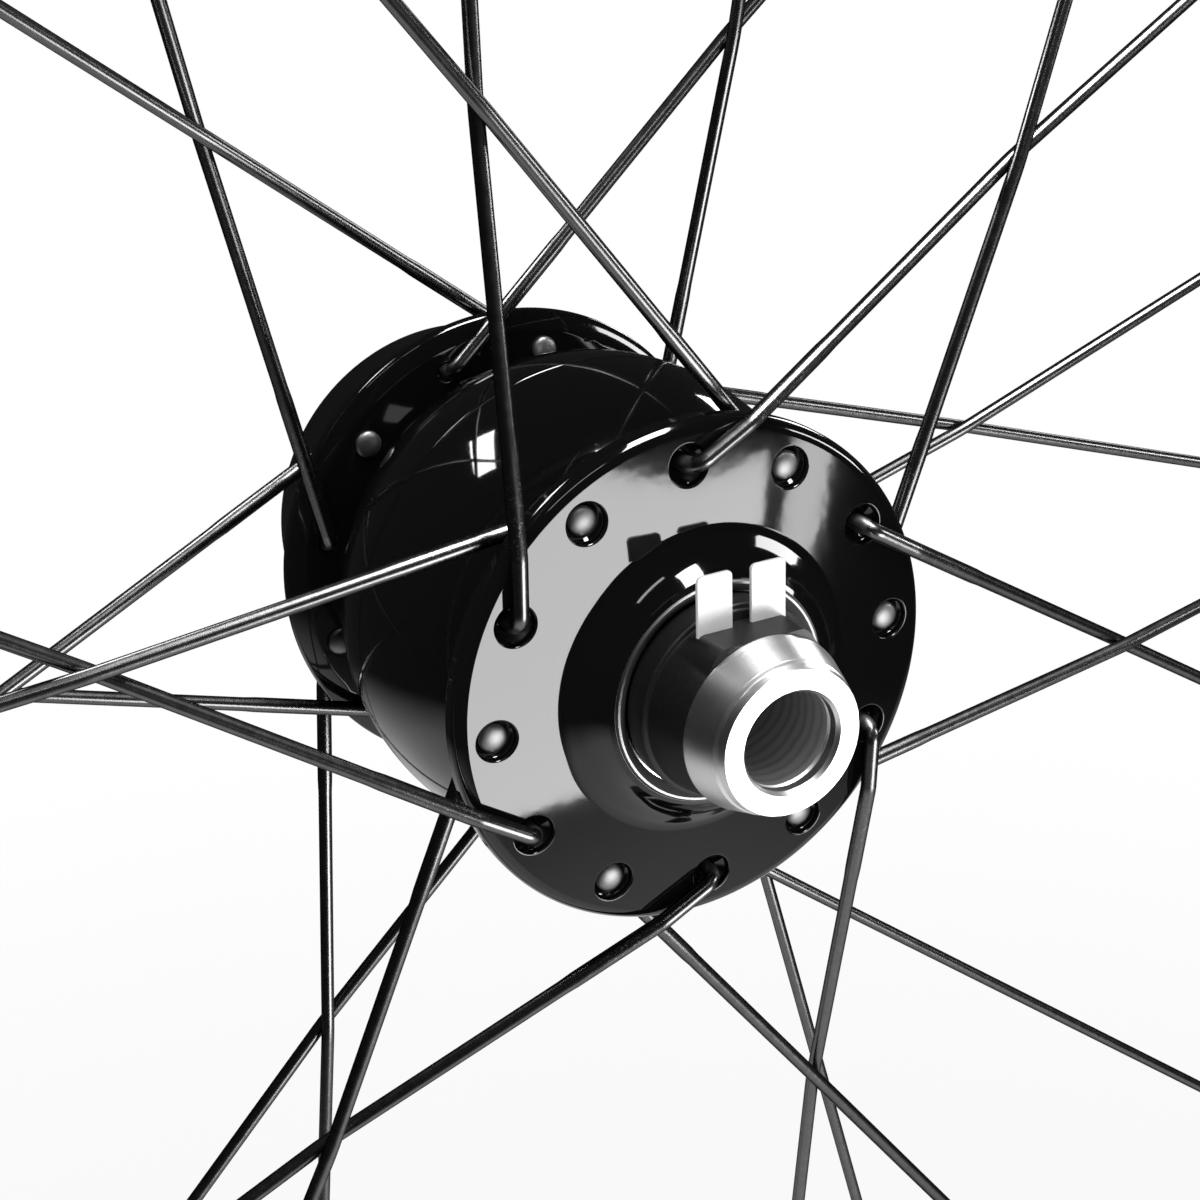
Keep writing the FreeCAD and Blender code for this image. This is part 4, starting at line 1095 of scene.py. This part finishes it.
def spoke_grid(hub, spoke, kind, around=24):
    """One spoke as a round section carried along its centre line, and each row's way from the elbow.

    The section's radius is the dome's ellipse over the head, the thick radius to the butt, a smooth
    step down over the taper and the thin radius from there. The head's rows have -3 as their way.
    """
    sunk = abs(kind.other_face) > abs(kind.face)
    widest = kind.other_face + kind.outward * (spoke.head_sink if sunk else -spoke.head_rise)
    seat = kind.other_face + kind.outward * (spoke.head_seat if sunk else 0.0)
    t = np.linspace(0, math.pi / 2, 9)
    dome = widest - kind.outward * spoke.dome_height * np.cos(t)
    head_station = np.concatenate([dome, [seat - kind.outward * 0.08, seat, seat]])
    head_radius = np.concatenate([
        spoke.head_radius * np.sin(t), [spoke.head_radius, spoke.head_radius - 0.1, spoke.thick_radius],
    ])
    head_centre = np.stack([np.zeros(len(head_station)), head_station], axis=-1)
    head_ahead = np.tile([[0.0, kind.outward]], (len(head_station), 1))

    centre, along = spoke_line(spoke, seat, spoke_corners(hub, spoke, kind))
    step = np.clip((along - spoke.thick_length) / spoke.taper_length, 0, 1)
    radius = spoke.thick_radius + (spoke.thin_radius - spoke.thick_radius) * step * step * (3 - 2 * step)
    ahead = np.gradient(centre, axis=0)
    ahead /= np.linalg.norm(ahead, axis=1)[:, None]
    ahead[0] = (0, kind.outward)

    centre = np.concatenate([head_centre, centre, centre[-1:]])
    ahead = np.concatenate([head_ahead, ahead, ahead[-1:]])
    radius = np.concatenate([head_radius, radius, [0.0]])
    along = np.concatenate([np.full(len(head_station), -3.0), along, along[-1:]])
    direction, _ = spoke_way(hub, spoke, kind.turn)
    sections = np.broadcast_to(radius[:, None], (len(radius), around))
    return tube(hub, direction, centre, ahead, sections), along


def nipple_grid(hub, spoke, kind, around=32):
    """Nipple along the spoke's end: a rounded square section, round again where it enters the rim.

    The section is r(a) = w / (|cos a|^p + |sin a|^p)^(1/p); p is 2 for a circle and grows to 8 on
    the flats. A row of the profile is (way from the rim's bed, w, p) for a nipple of drawn_length.
    """
    drawn_length = 8.0
    direction, reach = spoke_way(hub, spoke, kind.turn)
    start = np.array(spoke_corners(hub, spoke, kind)[-2][:2])
    run = np.array([reach, 0.0]) - start
    total = np.linalg.norm(run)
    run /= total
    bed = total - (spoke.aim_radius - spoke.bed_radius)
    profile = np.array([
        (-8.0, 0.0, 2), (-8.0, 1.0, 2), (-7.9, 1.25, 2), (-7.6, 1.42, 2), (-7.2, 1.5, 3), (-6.6, 1.55, 8),
        (-6.0, 1.56, 8), (-3.0, 1.6, 8), (-2.2, 1.62, 8), (-1.7, 1.8, 3), (-1.3, 1.95, 2), (0.6, 1.95, 2),
        (1.2, 1.9, 2), (1.2, 0.0, 2),
    ])
    profile[:, 0] *= spoke.nipple_length / drawn_length
    turn = np.arange(around) * FULL_TURN / around
    power = profile[:, 2:]
    shape = (np.abs(np.cos(turn)) ** power + np.abs(np.sin(turn)) ** power) ** (-1 / power)
    centre = start + run * (bed + profile[:, :1])
    ahead = np.tile(run, (len(profile), 1))
    return tube(hub, direction, centre, ahead, profile[:, 1:2] * shape)


class WHEEL_OT_spokes(bpy.types.Operator):
    """Adds the laced spokes and their nipples"""

    bl_idname = "wheel.spokes"
    bl_label = "Spokes"
    bl_options = {"REGISTER", "UNDO"}

    def execute(self, context):
        """Builds one spoke and nipple of each kind and repeats them round the axle."""
        hub = in_mm(context.scene.hub_sizes)
        spoke = in_mm(context.scene.spoke_sizes)
        steel = drawn_steel(context.scene.finishes)
        nipples = Skin()
        pairs = hub.holes // 2
        for kind in lacing(hub, spoke):
            shape, along = spoke_grid(hub, spoke, kind)
            nipple = nipple_grid(hub, spoke, kind)
            for pair in range(pairs):
                by = kind.angle + pair * FULL_TURN / pairs
                node = f"{kind.side}_spoke_{kind.first + 2 * pair:02d}"
                skin = Skin().grid(turned_about_axle(shape, by), along=along)
                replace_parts(skin.make(node + "_wire", "wheel", "spoke_steel", steel, sharp=50), node)
                nipples.grid(turned_about_axle(nipple, by))
        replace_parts(nipples.make("nipples", "wheel", "nipple_nickel", nickel(), sharp=40), "spoke_nipples")
        return {"FINISHED"}


# Rim


class WHEEL_OT_rim(bpy.types.Operator):
    """Adds the rim with its valve hole"""

    bl_idname = "wheel.rim"
    bl_label = "Rim"
    bl_options = {"REGISTER", "UNDO"}

    def execute(self, context):
        """Turns the rim's closed outline and drills it."""
        rim = in_mm(context.scene.rim_sizes)
        spoke_bed = in_mm(context.scene.spoke_sizes).bed_radius
        half, mouth, bed = rim.half_width, rim.half_mouth, rim.half_bed
        line = outline([
            (rim.top_radius, half, 0.5),
            (rim.flank_radius, half, 3.0),
            (spoke_bed, bed, 2.0),
            (spoke_bed, -bed, 2.0),
            (rim.flank_radius, -half, 3.0),
            (rim.top_radius, -half, 0.5),
            (rim.top_radius, -mouth, 0.5),
            (rim.seat_radius, -mouth, 0.8),
            (rim.bed_radius, 0.0, 6.0),
            (rim.seat_radius, mouth, 0.8),
            (rim.top_radius, mouth, 0.5),
        ], closed=True)
        skin = Skin().grid(turned(line, rim.segments), closed_rows=True)
        piece = skin.make("rim_hoop", "wheel", "rim_black", satin_rim(context.scene.finishes))
        self.drill(piece, rim, spoke_bed - 5, rim.seat_radius + 3)
        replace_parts(piece, "rim")
        return {"FINISHED"}

    def drill(self, piece, rim, inside, outside):
        """Cuts the valve hole with a cylinder from one radius to another."""
        bore = np.array([(0, inside), (rim.valve_radius, inside), (rim.valve_radius, outside), (0, outside)])
        steps = 48
        around = np.arange(steps) * FULL_TURN / steps
        grid = np.stack([
            np.broadcast_to(bore[:, 1:], (len(bore), steps)),
            bore[:, :1] * np.cos(around),
            bore[:, :1] * np.sin(around),
        ], axis=-1)
        skin = Skin().grid(turned_about_axle(grid, rim.valve_angle))
        cutter = skin.make("valve_cutter", "wheel", "rim_black", piece.data.materials[0])
        cut = piece.modifiers.new("valve_hole", "BOOLEAN")
        cut.object = cutter
        cut.solver = "EXACT"
        graph = bpy.context.evaluated_depsgraph_get()
        carved = bpy.data.meshes.new_from_object(piece.evaluated_get(graph))
        piece.modifiers.clear()
        piece.data = carved
        carved.set_sharp_from_angle(angle=math.radians(35))
        bpy.data.objects.remove(cutter)


# Bearings and generator


class WHEEL_OT_inner_works(bpy.types.Operator):
    """Gives the CAD nodes that stay in view inside the hub their finishes"""

    bl_idname = "wheel.inner_works"
    bl_label = "Bearings and Generator"
    bl_options = {"REGISTER", "UNDO"}

    def execute(self, context):
        """Puts one finish on each group of CAD nodes."""
        sides = ("right", "left")
        bearing = [f"{part}_{side}" for part in ("inner_race", "outer_race", "ball_set") for side in sides]
        groups = (
            (ground_steel(context.scene.finishes), bearing),
            (seal_rubber(), ["bearing_seal_right", "bearing_seal_left"]),
            (pressed_steel(), ["stator_core", "claw_pole_right", "claw_pole_left", "magnet_yoke"]),
            (ferrite(), ["magnet_ring"]),
            (bobbin_nylon(), ["coil_bobbin"]),
            (wound_copper(), ["copper_winding", "coil_leads"]),
        )
        for finish, names in groups:
            for name in names:
                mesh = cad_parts[name].data
                mesh.materials.clear()
                mesh.materials.append(finish)
        return {"FINISHED"}


# Stage


class WHEEL_OT_stage(bpy.types.Operator):
    """Adds the floor, the backdrop, the lights and the camera"""

    bl_idname = "wheel.stage"
    bl_label = "Stage"
    bl_options = {"REGISTER", "UNDO"}

    def execute(self, context):
        """Builds the stage and points the camera from the photograph's side."""
        scene = context.scene
        studio = in_mm(scene.studio_sizes)
        scene.view_settings.view_transform = "Standard"
        self.floor(studio)
        self.backdrop(scene)
        self.hood(studio)
        self.lights()
        self.camera(scene, studio)
        return {"FINISHED"}

    def disc(self, name, radius, level, columns, finish):
        """Rings of points about Z, from their radii and heights, as a sheet that isn't part of the wheel."""
        around = np.arange(columns) * FULL_TURN / columns
        rows = len(radius)
        radius, level = radius[:, None], np.broadcast_to(level[:, None], (rows, columns))
        points = np.stack([radius * np.cos(around), radius * np.sin(around), level], axis=-1)
        index = np.arange(rows * columns).reshape(rows, columns)
        index = np.hstack([index, index[:, :1]])
        quads = np.stack([index[:-1, :-1], index[1:, :-1], index[1:, 1:], index[:-1, 1:]], axis=-1)
        mesh = bpy.data.meshes.new(name)
        mesh.from_pydata((points.reshape(-1, 3) * MM).tolist(), [], quads.reshape(-1, 4).tolist())
        work = bmesh.new()
        work.from_mesh(mesh)
        bmesh.ops.remove_doubles(work, verts=work.verts, dist=1e-6)
        work.to_mesh(mesh)
        work.free()
        mesh.materials.append(finish)
        sheet = bpy.data.objects.new(name, mesh)
        bpy.context.scene.collection.objects.link(sheet)
        return sheet

    def floor(self, studio):
        """A pale disc that fades out at its edge, so that no horizon shows."""
        radius = np.linspace(0, 1, 24) * studio.floor_radius
        self.disc("floor", radius, np.full(24, studio.floor_level), 96, self.floor_paper(studio))

    def floor_paper(self, studio):
        """Pale paper that still takes shadows; the camera sees it nearly white."""
        material = bpy.data.materials.new("floor_paper")
        material.use_nodes = True
        nodes = Nodes(material.node_tree)
        x, y, _ = nodes.parts(nodes.place())
        radius = studio.floor_radius * MM
        edge = ((x * x + y * y) ** 0.5).between(radius * 0.45, radius * 0.99)
        tint = nodes.blend(nodes.noise(900, 3), (0.84, 0.84, 0.84), (0.88, 0.88, 0.88))
        diffuse = nodes.value("ShaderNodeBsdfDiffuse", inputs={"Color": tint})
        glow = nodes.value("ShaderNodeEmission", inputs={"Color": (1, 1, 1), "Strength": 1.0})
        seen = nodes.mix(self.background_rays(nodes) * 0.8, diffuse, glow)
        clear = nodes.value("ShaderNodeBsdfTransparent")
        nodes.node("ShaderNodeOutputMaterial", inputs={"Surface": nodes.mix(edge, seen, clear)})
        return material

    def background_rays(self, nodes):
        """1 for rays that show the background: from the camera, off gloss and through glass."""
        path = nodes.node("ShaderNodeLightPath")
        kinds = ("Is Camera Ray", "Is Glossy Ray", "Is Transmission Ray")
        camera, glossy, transmission = [Value(nodes.tree, path.outputs[name]) for name in kinds]
        total = camera + glossy + transmission
        return total.math("MINIMUM", total, 1.0)

    def backdrop(self, scene):
        """White wherever the background shows, and an even white light on the object."""
        world = bpy.data.worlds.new("studio")
        scene.world = world
        world.use_nodes = True
        nodes = Nodes(world.node_tree)
        strength = 0.75 + 0.25 * self.background_rays(nodes)
        light = nodes.value("ShaderNodeBackground", inputs={"Color": (1, 1, 1), "Strength": strength})
        nodes.node("ShaderNodeOutputWorld", inputs={"Surface": light})

    def hood(self, studio):
        """A dark cloth dome over the set, which only gloss mirrors, with its lamps hung inside.

        The dome is a sphere's part: at height h its ring's radius is sqrt(R^2 - h^2).
        """
        height = np.linspace(-0.8, 1, 36) * studio.hood_radius
        radius = np.sqrt(np.maximum(studio.hood_radius ** 2 - height ** 2, 0.01))
        hood = self.disc("hood", radius, height, 64, self.hood_cloth(studio))
        hood.visible_camera = False
        hood.visible_diffuse = False
        hood.visible_shadow = False

    def hood_cloth(self, studio):
        """Black cloth that thins out at its lower edge."""
        material = bpy.data.materials.new("hood_cloth")
        material.use_nodes = True
        nodes = Nodes(material.node_tree)
        radius = studio.hood_radius * MM
        _, _, z = nodes.parts(nodes.place())
        cloth = z.between(-0.74 * radius, -0.6 * radius)
        black = nodes.value("ShaderNodeEmission", inputs={"Color": (1, 1, 1), "Strength": 0.02})
        clear = nodes.value("ShaderNodeBsdfTransparent")
        nodes.node("ShaderNodeOutputMaterial", inputs={"Surface": nodes.mix(cloth, clear, black)})
        return material

    def lights(self):
        """One soft box for light and shade, and seven that only the gloss mirrors.

        The low box and strip show in the right flange's face, the high strip on the left flange, the
        ceiling lamps on the barrel and the boss, and the side and boss lamps along the edges.
        """
        hub_front = (0, -30, 0)
        flange_spot, edge_spot, barrel_spot = (-18.5, -42.3, 7.4), (82.2, 5.6, 7.4), (-17.6, -9.9, 25.4)
        self.box("fill_box", (-120, -160, 620), hub_front, (420, 420), 3.0, gloss=False)
        self.lamp("low_box", (131.5, -357.3, -142.6), flange_spot, (176, 170), 9.5)
        self.lamp("low_strip", (232.2, -309.4, -142.6), edge_spot, (21.5, 170), 8.0)
        self.lamp("high_strip", (-60.8, 54.3, 117), barrel_spot, (50, 20.5), 18.0, (-134, -165, 31))
        self.lamp("ceiling_lamp", (112, -170, 530), hub_front, (150, 380), 32.0, (1, 0, 0))
        self.lamp("ceiling_strip", (-100, -411, 392), hub_front, (34, 200), 6.0, (-0.06, 0.25, 0.21))
        self.lamp("side_lamp", (500, 275, 195), hub_front, (150, 110), 14.0)
        self.lamp("boss_lamp", (440, -240, 105), hub_front, (190, 60), 14.0, (0.13, 0.21, -0.2))

    def lamp(self, name, place, target, size, radiance, along=None):
        """A box that shows only in gloss."""
        self.box(name, place, target, size, radiance, along, diffuse=False)

    def box(self, name, place, target, size, radiance, along=None, diffuse=True, gloss=True):
        """A soft box of a given brightness that faces a point; along turns its long side."""
        data = bpy.data.lights.new(name, "AREA")
        data.shape = "RECTANGLE"
        data.size, data.size_y = size[0] * MM, size[1] * MM
        data.energy = radiance * 4 * data.size * data.size_y
        back = (Vector(place) - Vector(target)).normalized()
        right = Vector(along) if along else Vector((0, 0, 1)).cross(back)
        right = (right - back * right.dot(back)).normalized()
        light = bpy.data.objects.new(name, data)
        light.matrix_world = self.stand(place, right, back.cross(right), back)
        light.visible_camera = False
        light.visible_diffuse = diffuse
        light.visible_glossy = gloss
        bpy.context.scene.collection.objects.link(light)

    def stand(self, place, right, up, back):
        """Matrix of a lamp or camera from its place in millimetres and its three directions."""
        return Matrix.Translation(Vector(place) * MM) @ Matrix((right, up, back)).transposed().to_4x4()

    def camera(self, scene, studio):
        """The photograph's point of view: from the right, above and a little behind the hub."""
        data = bpy.data.cameras.new("camera")
        data.lens = studio.lens
        data.sensor_width = 36
        data.clip_start = 0.01
        place = (-129.70, -249.21, 122.22)
        right, up, back = (0.8766, -0.4804, -0.0289), (0.2165, 0.3401, 0.9151), (-0.4298, -0.8083, 0.4022)
        camera = bpy.data.objects.new("camera", data)
        camera.matrix_world = self.stand(place, right, up, back)
        scene.collection.objects.link(camera)
        scene.camera = camera


# Panel and registration


class WHEEL_PT_panel(bpy.types.Panel):
    """Lists the sizes and the steps in the 3D view's sidebar"""

    bl_idname = "WHEEL_PT_panel"
    bl_label = "Generator Wheel"
    bl_space_type = "VIEW_3D"
    bl_region_type = "UI"
    bl_category = "Wheel"

    def draw(self, context):
        """Draws a box for each group and a button for each step."""
        layout = self.layout
        for group in GROUPS:
            box = layout.box()
            box.label(text=group.replace("_", " ").capitalize())
            settings = getattr(context.scene, group)
            for name in settings.__annotations__:
                box.prop(settings, name)
        for step in STEPS:
            layout.operator(step.bl_idname)


GROUPS = {
    "hub_sizes": HubSizes,
    "axle_sizes": AxleSizes,
    "spoke_sizes": SpokeSizes,
    "rim_sizes": RimSizes,
    "finishes": Finishes,
    "studio_sizes": StudioSizes,
}
STEPS = (
    WHEEL_OT_hub_shells,
    WHEEL_OT_axle_ends,
    WHEEL_OT_plug,
    WHEEL_OT_spokes,
    WHEEL_OT_rim,
    WHEEL_OT_inner_works,
    WHEEL_OT_stage,
)


def register():
    """Registers the groups, the steps and the panel."""
    for name, group in GROUPS.items():
        bpy.utils.register_class(group)
        setattr(bpy.types.Scene, name, PointerProperty(type=group))
    for step in STEPS:
        bpy.utils.register_class(step)
    bpy.utils.register_class(WHEEL_PT_panel)


def unregister():
    """Takes them out again."""
    bpy.utils.unregister_class(WHEEL_PT_panel)
    for step in reversed(STEPS):
        bpy.utils.unregister_class(step)
    for name, group in reversed(GROUPS.items()):
        delattr(bpy.types.Scene, name)
        bpy.utils.unregister_class(group)


def main():
    """Runs the steps in order."""
    register()
    bpy.ops.wheel.hub_shells()
    bpy.ops.wheel.axle_ends()
    bpy.ops.wheel.plug()
    bpy.ops.wheel.spokes()
    bpy.ops.wheel.rim()
    bpy.ops.wheel.inner_works()
    bpy.ops.wheel.stage()


if __name__ == "__main__":
    main()
